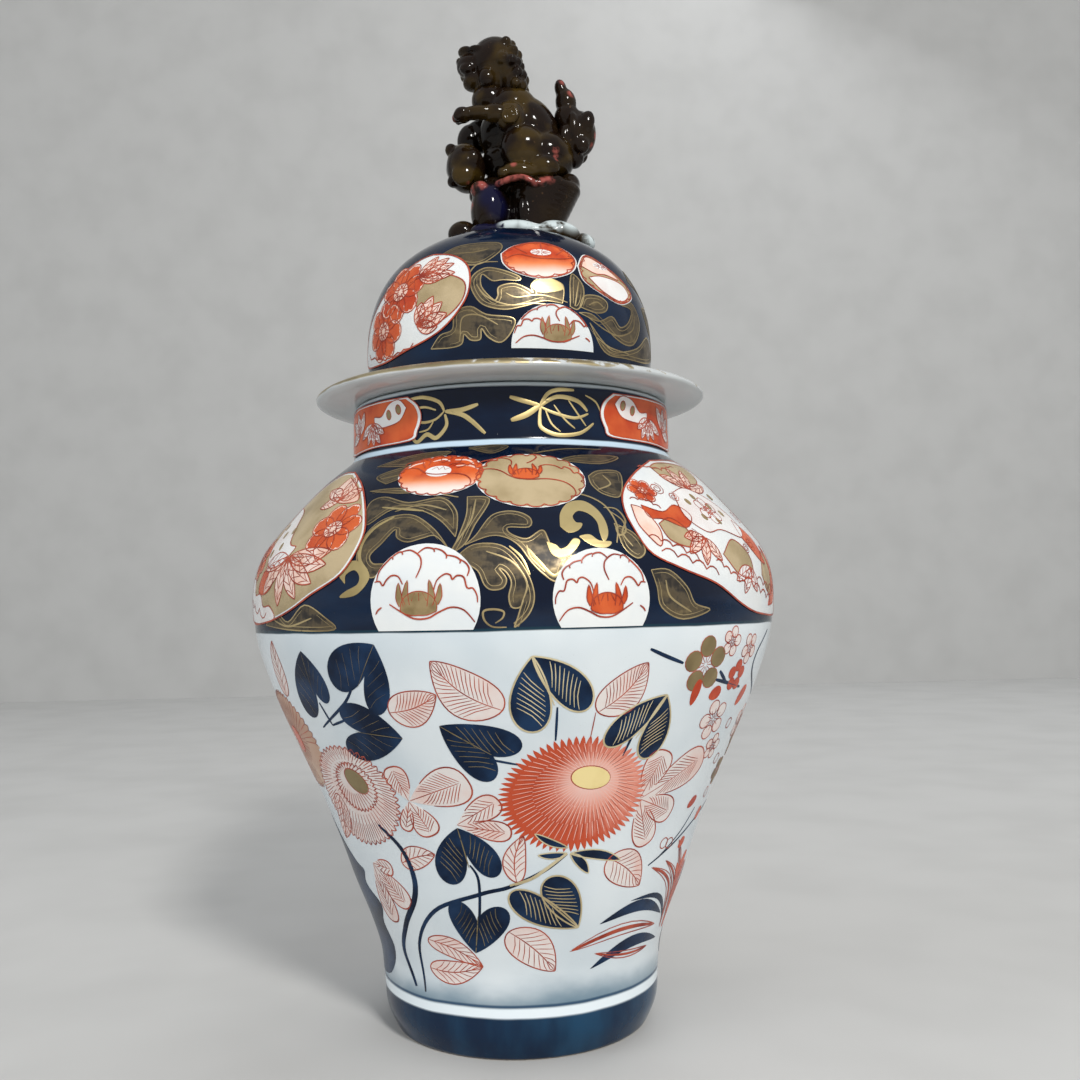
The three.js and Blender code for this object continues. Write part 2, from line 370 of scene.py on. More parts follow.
class Enamel:
    """One colour of painting on a wall, all in one thin raised piece. What is painted on the
    front is painted again on the back."""

    THICKNESS = 0.04
    GRID = 2.6
    SIDES = (0, 180)

    def __init__(self, name, wall, lift, glaze):
        self.name = name
        self.wall = wall
        self.lift = lift
        self.glaze = glaze
        self.bm = bmesh.new()

    def lines(self, origin, lines, width, taper=0.3, smooth=4):
        """Brush lines through flat points, which thin out at both ends."""
        curve = bpy.data.curves.new("stroke", "CURVE")
        curve.dimensions = "3D"
        curve.bevel_depth = 1.0
        curve.bevel_resolution = 0
        curve.use_fill_caps = True
        for line in lines:
            points = spread(smooth_line(line, smooth) if len(line) > 2 else line, self.GRID)
            spline = curve.splines.new("POLY")
            spline.points.add(len(points) - 1)
            for i, point in enumerate(points):
                share = math.sin(math.pi * (i + 0.15) / (len(points) - 0.7))
                spline.points[i].co = (point[0], point[1], 0, 1)
                spline.points[i].radius = width / 2 * (taper + (1 - taper) * abs(share) ** 0.5)
        self.lay(curve, origin, 0, 0.16, 10.0)

    def ring(self, origin, outline, width, taper=0.3):
        """A brush line right round an outline."""
        self.lines(origin, [[*outline, outline[0]]], width, taper, 1)

    def fill(self, origin, outline, middle=(0, 0)):
        """A filled shape; its own coordinates run from -1 to 1 about its middle."""
        curve = bpy.data.curves.new("patch", "CURVE")
        curve.dimensions = "2D"
        curve.fill_mode = "BOTH"
        curve.extrude = self.THICKNESS
        spline = curve.splines.new("POLY")
        spline.points.add(len(outline) - 1)
        spline.use_cyclic_u = True
        for point, corner in zip(spline.points, outline):
            point.co = (corner[0], corner[1], 0, 1)
        reach = max(max(abs(p[0] - middle[0]), abs(p[1] - middle[1])) for p in outline)
        self.lay(curve, origin, self.GRID, 1.0, reach, middle)

    def lay(self, curve, origin, grid, flatten, reach, middle=(0, 0)):
        """Cuts a flat sketch so that it can bend, and lays it on the wall, front and back."""
        sketch = bpy.data.objects.new(curve.name, curve)
        mesh = bpy.data.meshes.new_from_object(sketch)
        bpy.data.objects.remove(sketch)
        bpy.data.curves.remove(curve)
        piece = bmesh.new()
        piece.from_mesh(mesh)
        if grid:
            for axis in (0, 1):
                spots = [v.co[axis] for v in piece.verts]
                for step in range(math.ceil(min(spots) / grid), math.ceil(max(spots) / grid)):
                    where = Vector((0, 0, 0))
                    where[axis] = step * grid
                    across = Vector((1 - axis, axis, 0))
                    everything = piece.verts[:] + piece.edges[:] + piece.faces[:]
                    bmesh.ops.bisect_plane(piece, geom=everything, plane_co=where, plane_no=across)
        bmesh.ops.recalc_face_normals(piece, faces=piece.faces)
        paint = piece.loops.layers.uv.verify()
        for face in piece.faces:
            for loop in face.loops:
                spot = loop.vert.co.xy - Vector(middle)
                loop[paint].uv = spot / reach
        flat = [v.co.copy() for v in piece.verts]
        for side in self.SIDES:
            for vert, spot in zip(piece.verts, flat):
                lift = self.lift + spot.z * flatten
                vert.co = self.wall.wrap((origin[0] + side, origin[1]), spot, lift)
            piece.to_mesh(mesh)
            self.bm.from_mesh(mesh)
        piece.free()
        bpy.data.meshes.remove(mesh)

    def finish(self):
        """Makes the colour one piece that rides with its wall."""
        piece = made(self.name, self.bm, 40)
        piece.data.materials.append(self.glaze.material)
        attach(piece, self.wall.body)


class Leaf:
    """A leaf or petal in flat millimetres from its pointed tip to its round end."""

    def __init__(self, wall, tip, end, width, bend=0.0, point=0.9, round_end=0.5):
        self.tip = tip
        self.axis = wall.plan(tip, end)
        self.side = Vector((self.axis.y, -self.axis.x)).normalized()
        self.width = width
        self.bend = bend
        self.point = point
        self.round_end = round_end

    def spot(self, along, across):
        """A point from 0 at the tip to 1 at the end, and from -1 to 1 across."""
        along = min(max(along, 0.0), 1.0)
        peak = self.point / (self.point + self.round_end)
        most = peak ** self.point * (1 - peak) ** self.round_end
        half = self.width / 2 * along ** self.point * (1 - along) ** self.round_end / most
        curl = self.bend * self.axis.length * math.sin(math.pi * along)
        return self.axis * along + self.side * (half * across + curl)

    def outline(self, steps=18):
        shares = [(1 - math.cos(math.pi * i / steps)) / 2 for i in range(steps + 1)]
        right = [self.spot(s, 1) for s in shares]
        left = [self.spot(s, -1) for s in reversed(shares[1:-1])]
        return right + left

    def midrib(self, reach):
        return [self.spot(s * reach, 0) for s in (0.02, 0.25, 0.5, 0.75, 1)]

    def veins(self, count, lean, reach, start=0.2):
        """Side veins that run from the midrib towards the tip."""
        veins = []
        for i in range(count):
            along = start + (0.88 - start) * i / max(count - 1, 1)
            for side in (-1, 1):
                veins.append([self.spot(along, 0.06 * side),
                              self.spot(along - lean * 0.6, 0.5 * side),
                              self.spot(along - lean, reach * side)])
        return veins

    def hatching(self, count, inner):
        """Veins right across a lobe, from the side that faces its partner."""
        lean = 0.26
        alongs = [0.46 + 0.46 * i / max(count - 1, 1) for i in range(count)]
        return [[self.spot(a, 0.72 * inner), self.spot(a - lean * 0.55, 0.05 * inner),
                 self.spot(a - lean, -0.66 * inner)] for a in alongs]


def cobalt_glaze():
    """Cobalt under the glaze: dense in places, thinner and bluer in others."""
    glaze = Glaze("cobalt_leaf", roughness=0.2)
    tone = glaze.noise(95, detail=5.0).rise(0.32, 0.74)
    tint = glaze.mix(tone, (0.0025, 0.009, 0.028), (0.011, 0.036, 0.092))
    return glaze.set(Base_Color=tint, Specular_IOR_Level=0.16)


def red_line_glaze():
    """Iron red in a fine brush line, darker where the brush was loaded."""
    glaze = Glaze("iron_red_line", roughness=0.3)
    load = glaze.noise(180, detail=3.0).rise(0.35, 0.7)
    return glaze.set(Base_Color=glaze.mix(load, (0.44, 0.075, 0.035), (0.24, 0.024, 0.012)))


def pink_wash_glaze():
    """A thin, nearly clear wash of iron red over the white glaze."""
    glaze = Glaze("pink_wash", roughness=0.2)
    pool = glaze.noise(75, detail=3.0).rise(0.4, 0.75)
    return glaze.set(Base_Color=glaze.mix(pool, (0.76, 0.71, 0.68), (0.76, 0.54, 0.48)))


def gilt_glaze(name, bright, dull, worn):
    """Matt gold, rubbed through in places to what lies below it."""
    glaze = Glaze(name)
    rubbed = glaze.noise(420, detail=5.0).rise(worn, worn + 0.16)
    tone = glaze.noise(60, detail=3.0).rise(0.35, 0.7)
    gold = glaze.mix(tone, bright, dull)
    glaze.set(Base_Color=glaze.mix(rubbed, gold, NAVY), Metallic=0.92 - rubbed * 0.8)
    return glaze.set(Roughness=0.30 + tone * 0.14)


body_wall = Wall(BODY_OUTLINE + neck_outline, "jar", "painted_body")
cobalt = Enamel("belly_cobalt_leaves", body_wall, 0.07, cobalt_glaze())
wash = Enamel("belly_pink_washes", body_wall, 0.03, pink_wash_glaze())
red_line = Enamel("belly_red_lines", body_wall, 0.10, red_line_glaze())
gilt = Enamel("belly_gilt_lines", body_wall, 0.13,
              gilt_glaze("gilt_line", (0.92, 0.80, 0.52), (0.62, 0.50, 0.28), 0.68))
worn_gilt = Enamel("belly_worn_gilt_lines", body_wall, 0.12,
                   gilt_glaze("worn_gilt_line", (0.40, 0.31, 0.15), (0.10, 0.08, 0.045), 0.56))

# Heart-shaped pairs of cobalt leaves: the shared tip, then each lobe's round end and width.
# The last value says how much gold is left: 2 for outline and veins, 1 for veins, 0 for traces.
COBALT_PAIRS = [
    ((3, 129), ((3.2, 106.8), 12), ((14.5, 113.5), 11), 2),
    ((-47, 131), ((-51, 110), 11), ((-43, 115), 7.5), 0),
    ((-27, 133), ((-39.5, 121), 13), ((-30, 112), 9), 0),
    ((-25, 105), ((-40, 113), 9.5), ((-42, 101), 10), 0),
    ((32, 116), ((19, 102), 9.5), ((30, 96.5), 10), 2),
    ((-16, 109), ((1, 102.5), 10), ((-5.5, 92.5), 10.5), 1),
    ((-16, 77), ((-21, 58.5), 10.5), ((-6.5, 61.5), 9), 1),
    ((-16, 35.5), ((-20.5, 53), 8.5), ((-5, 51), 9), 1),
    ((19, 43), ((8, 60.5), 10.5), ((-3, 56), 9), 2),
]
for tip, *ends, gold in COBALT_PAIRS:
    lobes = [Leaf(body_wall, tip, end, width, bend)
             for (end, width), bend in zip(ends, (0.03, -0.03))]
    metal = gilt if gold == 2 else worn_gilt
    for lobe, partner in (lobes, lobes[::-1]):
        inner = 1 if partner.axis.dot(lobe.side) > 0 else -1
        outline = lobe.outline()
        cobalt.fill(tip, outline)
        metal.lines(tip, lobe.hatching(4 + 2 * gold, inner), 0.10 + 0.11 * gold, smooth=2)
        if gold == 2:
            gilt.ring(tip, outline, 0.55, 0.8)
    middle = (lobes[0].axis + lobes[1].axis) * 0.38
    metal.lines(tip, [[(0, 0), middle * 0.5, middle]], 0.2 + 0.15 * gold, smooth=3)

# Cobalt stems, each a run of places and a width, and the sepals under the large bloom.
COBALT_STEMS = [
    ([(8, 114), (8, 104)], 0.8), ([(-46, 115), (-44, 108)], 0.9),
    ([(-34, 121), (-38, 115), (-48, 107)], 1.0), ([(-39, 110), (-44, 108)], 0.9),
    ([(26, 107), (24, 98)], 0.9), ([(-7, 99), (0, 97)], 0.8),
    ([(-14, 65), (-12, 60), (-13, 48), (-16, 36)], 0.9),
    ([(-40, 20), (-39, 36), (-28, 49), (-12, 55.5), (-3, 58), (7, 63), (13, 68)], 1.3),
    ([(-45, 21), (-49, 32), (-43, 42), (-35, 52), (-33, 60), (-35, 69), (-41, 76)], 2.0),
    ([(26, 130), (30, 127.6), (34.5, 125.3)], 1.2), ([(45.5, 119.5), (50, 118.2), (58, 116)], 1.2),
    ([(46.5, 122), (50, 118.4)], 1.3),
    ([(68, 134), (63, 127), (64, 120), (74, 112)], 1.1),
    ([(42, 60), (52, 65), (63, 71), (75, 76)], 0.8), ([(46, 62), (55, 69), (60, 76)], 0.6),
]
for places, width in COBALT_STEMS:
    flat = body_wall.line(places)
    cobalt.lines(places[0], [flat], width, taper=0.45, smooth=7)
    if len(places) > 4:
        worn_gilt.lines(places[0], [flat], 0.4, smooth=7)
# Where the gilding on the main stem has not worn off it runs up to the bloom.
flat = body_wall.line([(-3, 58.4), (3, 60.4), (7, 63.2), (13, 68.2)], (-3, 58))
gilt.lines((-3, 58), [flat], 1.05, taper=0.7, smooth=6)
for tip, end, width in (((5, 68), (13, 68), 2.2), ((4, 75), (13, 70), 2.2),
                        ((30, 64), (14, 68), 3.2), ((20, 61), (14, 68), 3.0)):
    sepal = Leaf(body_wall, tip, end, width, 0.05, 0.8, 0.8)
    outline = sepal.outline(12)
    cobalt.fill(tip, outline)
    gilt.ring(tip, outline, 0.4, 0.8)

# Long cobalt and red grass blades at the lower right, and the dark rock at the left.
for tip, end, width, bend in (((27, 43), (61, 40), 4.4, -0.17), ((26, 28), (64, 31), 4.4, -0.14),
                              ((38, 49), (66, 36), 2.0, -0.2)):
    grass = Leaf(body_wall, tip, end, width, bend, 0.9, 0.9)
    cobalt.fill(tip, grass.outline())
for tip, end, width, bend in (((17, 35), (58, 37), 4.2, -0.10), ((27, 33), (56, 30), 2.4, 0.05),
                              ((44, 59), (66, 34), 3.4, -0.2), ((51, 60), (70, 36), 3.0, -0.15),
                              ((63, 58), (72, 36), 3.0, -0.05), ((56, 66), (68, 42), 2.4, -0.1)):
    grass = Leaf(body_wall, tip, end, width, bend, 0.9, 0.9)
    red_line.lines(tip, [grass.midrib(0.95)], width * 0.35)
    outline = grass.outline(12)
    red_line.lines(tip, [outline], 0.4, smooth=1)
GARDEN_ROCK = [(-90, 76), (-77, 72), (-70, 66), (-62, 60), (-58, 58), (-60, 53), (-54, 47),
               (-58, 40), (-56, 32), (-61, 24), (-70, 20), (-92, 20), (-102, 26), (-97, 36),
               (-105, 46), (-98, 57), (-99, 68)]
rock_middle = (-75, 45)
cobalt.fill(rock_middle, smooth_line(body_wall.line([*GARDEN_ROCK, GARDEN_ROCK[0]], rock_middle), 4))

# Red-line leaves: tip, round end, width, how many veins, and the bend.
RED_LEAVES = [
    ((-15.7, 118.2), (-26.6, 112.8), 11.6, 11, -0.08), ((-16, 128), (-2.8, 113.5), 15, 13, 0.10),
    ((26, 126), (16.5, 112), 12.5, 12, -0.08), ((-24, 68), (-36, 64), 8, 6, 0.05),
    ((1, 74.5), (-1, 59.5), 7, 6, 0.1), ((40, 54), (26, 65), 12, 8, 0.06),
    ((-14, 31), (-34, 38.5), 7, 7, 0.08), ((-14, 31), (-36, 28.5), 8, 7, -0.08),
    ((12, 29), (-4, 43), 12, 8, 0.05), ((-59, 134), (-61, 116), 9, 6, 0.0),
    ((-64, 68), (-55, 84), 9, 6, 0.05),
]
for tip, end, width, veins, bend in RED_LEAVES:
    foliage = Leaf(body_wall, tip, end, width, bend, 0.85, 0.55)
    outline = foliage.outline()
    wash.fill(tip, outline)
    red_line.ring(tip, outline, 0.4, 0.7)
    red_line.lines(tip, [foliage.midrib(1.0)], 0.36)
    red_line.lines(tip, foliage.veins(veins, 0.2, 0.92), 0.27, smooth=1)
red_line.lines((16, 112), [body_wall.line([(16, 112), (15.5, 104)])], 0.35)

# Lobed leaves: a root, and the far end and width of each lobe.
LOBED_LEAVES = [
    ((-27.9, 85), ((-30.4, 95.8), 8.5), ((-11.6, 92.4), 13), ((-23.4, 74.2), 9),
     ((-31.4, 75.2), 4.8)),
    ((31.9, 83.5), ((36, 98.4), 11), ((52, 95), 12.5), ((45.6, 77), 9.5), ((38.6, 67.6), 9.5)),
    ((-50, 62), ((-41, 61), 5.5), ((-38, 49), 9), ((-49, 42), 8)),
    ((-16, 78), ((-4.8, 86), 8), ((-2, 75.4), 7)),
]
for root, *lobes in LOBED_LEAVES:
    for end, width in lobes:
        lobe = Leaf(body_wall, root, end, width, 0.0, 1.05, 0.42)
        outline = lobe.outline()
        wash.fill(root, outline)
        red_line.lines(root, [outline[7:30]], 0.5, taper=0.5, smooth=1)
        red_line.lines(root, [lobe.midrib(0.86)], 0.3)
        veins = lobe.veins(round(width * 0.8), 0.2, 0.84, start=0.4)
        red_line.lines(root, veins, 0.28, smooth=1)


# ------------------------------------------------------------------ chrysanthemums and blossom
# Three big chrysanthemums stand among the leaves: a red one in front, a pale one and a buff
# one to the left. Plum blossom and red berries hang down the right-hand side.

def petalled(rx, ry, petals, depth=0.07, tilt=0.0):
    """The edge of a bloom with many narrow petals."""
    edge = []
    for petal in range(petals):
        shoulder_reach = 1 - depth * 0.35
        for share, reach in ((0.0, 1 - depth), (0.26, shoulder_reach), (0.5, 1.0),
                             (0.74, shoulder_reach)):
            turn = math.tau * (petal + share) / petals
            edge.append(Vector((rx * reach * math.cos(turn), ry * reach * math.sin(turn))))
    return turned_by(edge, tilt)


def turned_by(points, degrees):
    """Flat points turned about their origin."""
    turn = Matrix.Rotation(math.radians(degrees), 2)
    return [turn @ Vector(p) for p in points]


def oval(rx, ry, tilt=0.0, middle=(0, 0), count=28):
    """A ring of flat points round a tilted oval."""
    angles = [math.tau * i / count for i in range(count)]
    ring = turned_by([(rx * math.cos(a), ry * math.sin(a)) for a in angles], tilt)
    return [p + Vector(middle) for p in ring]


def rays(rx, ry, count, start, stop, middle=(0, 0), offset=0.0, tilt=0.0):
    """Petal lines that run out from the heart of a bloom."""
    lines = []
    for i in range(count):
        turn = math.tau * (i + offset) / count
        tip, heart = Vector((rx * math.cos(turn), ry * math.sin(turn))), Vector(middle)
        lines.append(turned_by([heart.lerp(tip, start), heart.lerp(tip, stop)], tilt))
    return lines


def red_bloom_glaze():
    """Iron red laid on in petal strokes: deep at the rim and the left, pink at the heart."""
    glaze = Glaze("red_chrysanthemum", roughness=0.22)
    u = glaze.axis("X", "UV", 1) - 0.16
    v = glaze.axis("Y", "UV", 1) - 0.18
    out = (u * u + v * v * 1.4).root()
    turn = glaze.node("ShaderNodeMath", {"operation": "ARCTAN2"}, {0: v, 1: u})
    polar = glaze.node("ShaderNodeCombineXYZ", {}, {"X": turn * 16, "Y": out * 2})
    petals = glaze.node("ShaderNodeTexNoise", {}, {"Vector": polar, "Scale": 1.0, "Detail": 2.0})
    deep = (out - u * 0.42 + v * 0.10 + (petals - 0.5) * 0.9).rise(0.08, 0.95)
    red = glaze.mix(deep, (0.84, 0.36, 0.27), (0.52, 0.075, 0.028))
    pale = (1 - out.rise(0.08, 0.55)) * (0.25 + petals * 0.9)
    red = glaze.mix(pale, red, (0.88, 0.66, 0.60))
    return glaze.set(Base_Color=red)


def flat_enamel(name, first, second, roughness=0.25, scale=90):
    """An enamel of one colour that pools a little."""
    glaze = Glaze(name, roughness=roughness)
    return glaze.set(Base_Color=glaze.mix(glaze.noise(scale).rise(0.35, 0.72), first, second))


red_bloom = Enamel("belly_red_chrysanthemum", body_wall, 0.05, red_bloom_glaze())
petal_line = Enamel("belly_pale_petal_lines", body_wall, 0.10,
                    flat_enamel("pale_petal_line", (0.86, 0.60, 0.53), (0.78, 0.44, 0.36)))
bloom_gold = Enamel("belly_gold_hearts", body_wall, 0.16,
                    flat_enamel("gold_heart", (0.88, 0.72, 0.34), (0.74, 0.56, 0.22), 0.3))
gold_petal = Enamel("belly_buff_gold_petals", body_wall, 0.08,
                    flat_enamel("buff_gold", (0.25, 0.19, 0.09), (0.16, 0.115, 0.05), 0.42))
red_fill = Enamel("belly_red_buds", body_wall, 0.10,
                  flat_enamel("red_bud", (0.56, 0.075, 0.018), (0.38, 0.03, 0.008)))
buff = Enamel("belly_buff_chrysanthemum", body_wall, 0.0,
              flat_enamel("buff_petal", (0.58, 0.40, 0.28), (0.46, 0.25, 0.16), 0.3, 40))

# The red bloom: a gold heart set high and right, and pale lines that run out along the petals.
RED_REACH = (22.6, 19)
bloom = (14, 87)
red_bloom.fill(bloom, petalled(23.8, 20, 66, 0.15))
heart = body_wall.plan(bloom, (17, 92))
bloom_gold.fill(bloom, oval(6.2, 3.8, -10, heart))
for count, start, stop, offset in ((60, 0.66, 0.88, 0.0), (60, 0.4, 0.66, 0.5), (44, 0.24, 0.42, 0)):
    petal_line.lines(bloom, rays(*RED_REACH, count, start, stop, heart, offset), 0.2)
red_line.lines(bloom, rays(*RED_REACH, 60, 0.5, 0.8, heart, 0.25), 0.2)
red_line.ring(bloom, oval(6.4, 4.0, -10, heart), 0.35)

# The pale bloom: two rings of narrow outlined petals about a buff heart.
PALE_BLOOM = (-47, 85)
PALE_REACH = (20.5, 17.5)
PALE_TILT = 25
bloom = PALE_BLOOM
edge = petalled(*PALE_REACH, 46, 0.08, PALE_TILT)
wash.fill(bloom, edge)
red_line.ring(bloom, edge, 0.4, 0.8)
heart = body_wall.plan(bloom, (-43.5, 90))
ring = [p * 0.5 + heart * 0.6 for p in petalled(*PALE_REACH, 34, 0.14, PALE_TILT)]
red_line.ring(bloom, ring, 0.5, 0.8)
for count, start, stop, offset in ((46, 0.56, 0.95, 0), (46, 0.7, 0.99, 0.5), (34, 0.25, 0.5, 0)):
    red_line.lines(bloom, rays(*PALE_REACH, count, start, stop, heart, offset, PALE_TILT), 0.31)
gold_petal.fill(bloom, oval(5.0, 3.9, -35, heart))
red_line.ring(bloom, oval(5.2, 4.1, -35, heart), 0.4)

# The buff bloom turns away round the left side, partly behind the pale one.
bloom = (-68, 101)
pale = body_wall.plan(bloom, PALE_BLOOM)


def in_sight(spot):
    """Whether a spot of the buff bloom is clear of the pale bloom."""
    away = spot - pale
    return math.hypot(away.x / PALE_REACH[0], away.y / PALE_REACH[1]) > 1


edge = petalled(19, 18, 44, 0.09)
buff.fill(bloom, edge)
first = next(i for i, p in enumerate(edge) if in_sight(p) and not in_sight(edge[i - 1]))
rim = [p for p in edge[first:] + edge[:first] if in_sight(p)]
red_line.lines(bloom, [rim], 0.4, taper=0.8, smooth=1)
for count, start, stop, offset in ((44, 0.5, 0.93, 0.0), (30, 0.22, 0.5, 0.5)):
    petals = rays(19, 18, count, start, stop, offset=offset)
    red_line.lines(bloom, [line for line in petals if in_sight(line[1])], 0.3)
red_fill.fill(bloom, oval(4.2, 5.0))


def blossom(middle, radius, petal, fill, turn):
    """A five-petalled plum blossom; the red ones have no stamens drawn in."""
    petals = []
    for i in range(5):
        angle = math.tau * i / 5 + turn
        spot = (radius * math.cos(angle), radius * math.sin(angle))
        petals.append(oval(petal, petal * 0.94, 0, spot, 14))
    for ring in petals:
        fill.fill(middle, ring)
        red_line.ring(middle, ring, 0.36, 0.8)
    if fill is not red_fill:
        red_line.lines(middle, rays(radius, radius, 11, 0.12, 0.85), 0.26)


BLOSSOMS = [
    ((41, 124.4), 5.9, 3.5, gold_petal, 0.4), ((48.5, 131), 3.2, 1.9, wash, 0.1),
    ((57, 128.5), 3.4, 2.0, wash, 0.9), ((54, 120), 3.4, 2.1, red_fill, 0.3),
    ((50, 106.5), 4.6, 2.6, wash, 0.7), ((55, 97), 3.0, 1.8, wash, 0.2),
    ((76, 97), 4.6, 2.6, gold_petal, 0.5), ((69, 87), 3.4, 2.0, gold_petal, 0.9),
    ((71, 103), 4.2, 2.5, wash, 0.1),
]
for middle, radius, petal, fill, turn in BLOSSOMS:
    blossom(middle, radius, petal, fill, turn)
for tip, end, width in (((39.5, 112), (40.5, 120), 3.6), ((45, 114), (49, 116), 4.6),
                        ((59, 110), (63, 116), 4.2), ((54, 77), (58, 80), 3.4),
                        ((57, 63), (60, 66), 3.4), ((64, 71), (67, 75), 3.2),
                        ((64, 51), (68, 60), 4.0), ((69, 40), (64, 56), 3.6),
                        ((71, 56), (68, 46), 4.4), ((70, 33), (74, 48), 4.2),
                        ((61, 57), (66, 50), 2.6)):
    bud = Leaf(body_wall, tip, end, width, 0.0, 0.6, 0.45)
    red_fill.fill(tip, bud.outline(9))
for spot in ((47, 66.5), (50, 66), (62, 92), (66, 80), (60, 104)):
    red_line.ring(spot, oval(1.9, 1.9, count=12), 0.36, 0.8)

for enamel in (cobalt, wash, buff, red_bloom, gold_petal, red_fill, red_line, petal_line,
               bloom_gold, gilt, worn_gilt):
    enamel.finish()


# ------------------------------------------------------------------ the navy shoulder
# On the navy shoulder, shapes are left white in the cobalt and filled after the glaze firing
# with peonies in iron red and gold. Gold scroll leaves fill the ground between them.

def brushed_gold(name):
    """Thin gold brushed over the navy: smoky where it is worn, brighter along the strokes."""
    glaze = Glaze(name)
    stroke = glaze.noise(110, (1, 1, 2.4), 5.0).rise(0.30, 0.74)
    fine = glaze.noise(700, (1, 1, 0.5), 4.0)
    tone = stroke * 0.75 + (fine - 0.5) * 0.8
    tint = glaze.mix(tone.rise(0.0, 0.45), (0.032, 0.028, 0.024), (0.125, 0.098, 0.062))
    tint = glaze.mix(tone.rise(0.5, 0.9), tint, (0.30, 0.23, 0.125))
    glaze.set(Base_Color=tint, Metallic=0.25 + tone.rise(0.1, 0.8) * 0.6)
    return glaze.set(Roughness=0.42 - tone.rise(0.2, 0.8) * 0.12)


def fading_red_glaze():
    """Iron red that is wiped out to orange and then to white towards the lower petal."""
    glaze = Glaze("fading_red", roughness=0.2)
    low = 0.0 - glaze.axis("Y", "UV", 1) + (glaze.noise(60) - 0.5) * 0.25
    red = glaze.mix(glaze.noise(140).rise(0.4, 0.7), (0.66, 0.11, 0.025), (0.46, 0.045, 0.012))
    red = glaze.mix(low.rise(-0.05, 0.3), red, (0.80, 0.25, 0.09))
    return glaze.set(Base_Color=glaze.mix(low.rise(0.16, 0.52), red, (0.82, 0.74, 0.68)))


# The colours by their short names: what each is called, how far it stands over the clear
# glaze in millimetres, and its own surface.
RESERVE_COLOURS = {
    "scroll": ("gold_scroll_leaves", 0.03, brushed_gold("scroll_leaf")),
    "gilt": ("gilt_lines", 0.09,
             gilt_glaze("scroll_line", (0.66, 0.52, 0.27), (0.33, 0.25, 0.13), 0.64)),
    "bright": ("bright_gilt", 0.12,
               gilt_glaze("bright_scroll", (0.80, 0.64, 0.31), (0.50, 0.39, 0.18), 0.66)),
    "white": ("white_reserves", 0.17,
              flat_enamel("reserve_white", (0.76, 0.78, 0.77), (0.69, 0.73, 0.75), 0.12, 50)),
    "gold_ground": ("buff_grounds", 0.22,
                    flat_enamel("reserve_buff", (0.48, 0.38, 0.23), (0.34, 0.26, 0.14), 0.33)),
    "red": ("red_petals", 0.25,
            flat_enamel("reserve_red", (0.62, 0.115, 0.03), (0.45, 0.045, 0.012))),
    "fade": ("fading_red_petals", 0.23, fading_red_glaze()),
    "pink": ("pink_washes", 0.28,
             flat_enamel("reserve_pink", (0.84, 0.66, 0.58), (0.78, 0.48, 0.37), 0.2, 120)),
    "pale": ("pale_petals", 0.31,
             flat_enamel("pale_petal", (0.80, 0.80, 0.79), (0.74, 0.68, 0.66))),
    "core": ("gold_hearts", 0.35,
             flat_enamel("gold_core", (0.30, 0.22, 0.11), (0.20, 0.14, 0.06), 0.36, 260)),
    "line": ("red_lines", 0.38, red_line_glaze()),
}


class Painting(dict):
    """The full set of colours for one painted part, by their short names."""

    def __init__(self, part, wall):
        self.wall = wall
        for key, (name, lift, glaze) in RESERVE_COLOURS.items():
            self[key] = Enamel(f"{part}_{name}", wall, lift, glaze)

    def loop(self, places, steps=5):
        """A closed smooth loop through places on the wall, from the first as origin."""
        return smooth_line(self.wall.line([*places, places[0]]), steps)


shoulder = Painting("shoulder", body_wall)


def scallops(ring, count, depth, part=(0.0, 1.0)):
    """A line of round scallops that follows a closed ring just inside it."""
    middle = sum(ring, Vector((0, 0))) / len(ring)
    line = []
    for i in range(count * 6 + 1):
        share = part[0] + (part[1] - part[0]) * i / (count * 6)
        spot = share * len(ring)
        first = ring[int(spot) % len(ring)]
        edge = first.lerp(ring[(int(spot) + 1) % len(ring)], spot % 1)
        line.append(edge.lerp(middle, depth * (1 - abs(math.sin(math.pi * i / 6)) ** 0.6) + 0.02))
    return line


def fitted(lines, width, height, tilt, shift=0.0, flip=1):
    """Lines drawn in a unit circle, fitted to a reserve."""
    return [turned_by([(flip * x * width, (y + shift) * height) for x, y in line], tilt)
            for line in lines]


# The petals of a half-open peony seen from the side, in a unit circle: the scalloped back
# petals and the fold between them, a side petal at each hand, and the near petal below.
SIDE_PEONY = [
    [(-0.90, 0.38), (-0.87, 0.52), (-0.80, 0.62), (-0.70, 0.72), (-0.62, 0.79), (-0.60, 0.74)],
    [(-0.62, 0.79), (-0.52, 0.88), (-0.44, 0.87), (-0.42, 0.82)],
    [(-0.43, 0.88), (-0.28, 0.90), (-0.14, 0.83), (-0.06, 0.74), (-0.05, 0.60), (-0.13, 0.42)],
    [(-0.13, 0.84), (0.0, 0.93), (0.15, 0.91), (0.18, 0.85)],
    [(0.17, 0.92), (0.30, 0.88), (0.40, 0.80), (0.41, 0.73)],
    [(0.41, 0.79), (0.56, 0.76), (0.66, 0.70), (0.66, 0.64)],
    [(0.66, 0.71), (0.77, 0.64), (0.83, 0.54), (0.80, 0.43)],
    [(-0.94, 0.37), (-0.84, 0.38), (-0.77, 0.31), (-0.70, 0.40), (-0.60, 0.47), (-0.47, 0.45),
     (-0.38, 0.32)],
    [(0.20, 0.20), (0.26, 0.37), (0.40, 0.47), (0.50, 0.45), (0.54, 0.38), (0.62, 0.44),
     (0.74, 0.41), (0.80, 0.24), (0.90, 0.23), (0.97, 0.12), (0.98, 0.0)],
    [(-0.64, 0.0), (-0.45, -0.11), (-0.18, -0.24), (0.08, -0.24), (0.28, -0.15), (0.51, -0.07),
     (0.74, -0.12), (0.93, -0.32)],
    [(-0.92, -0.16), (-0.88, -0.10), (-0.80, -0.05)],
]
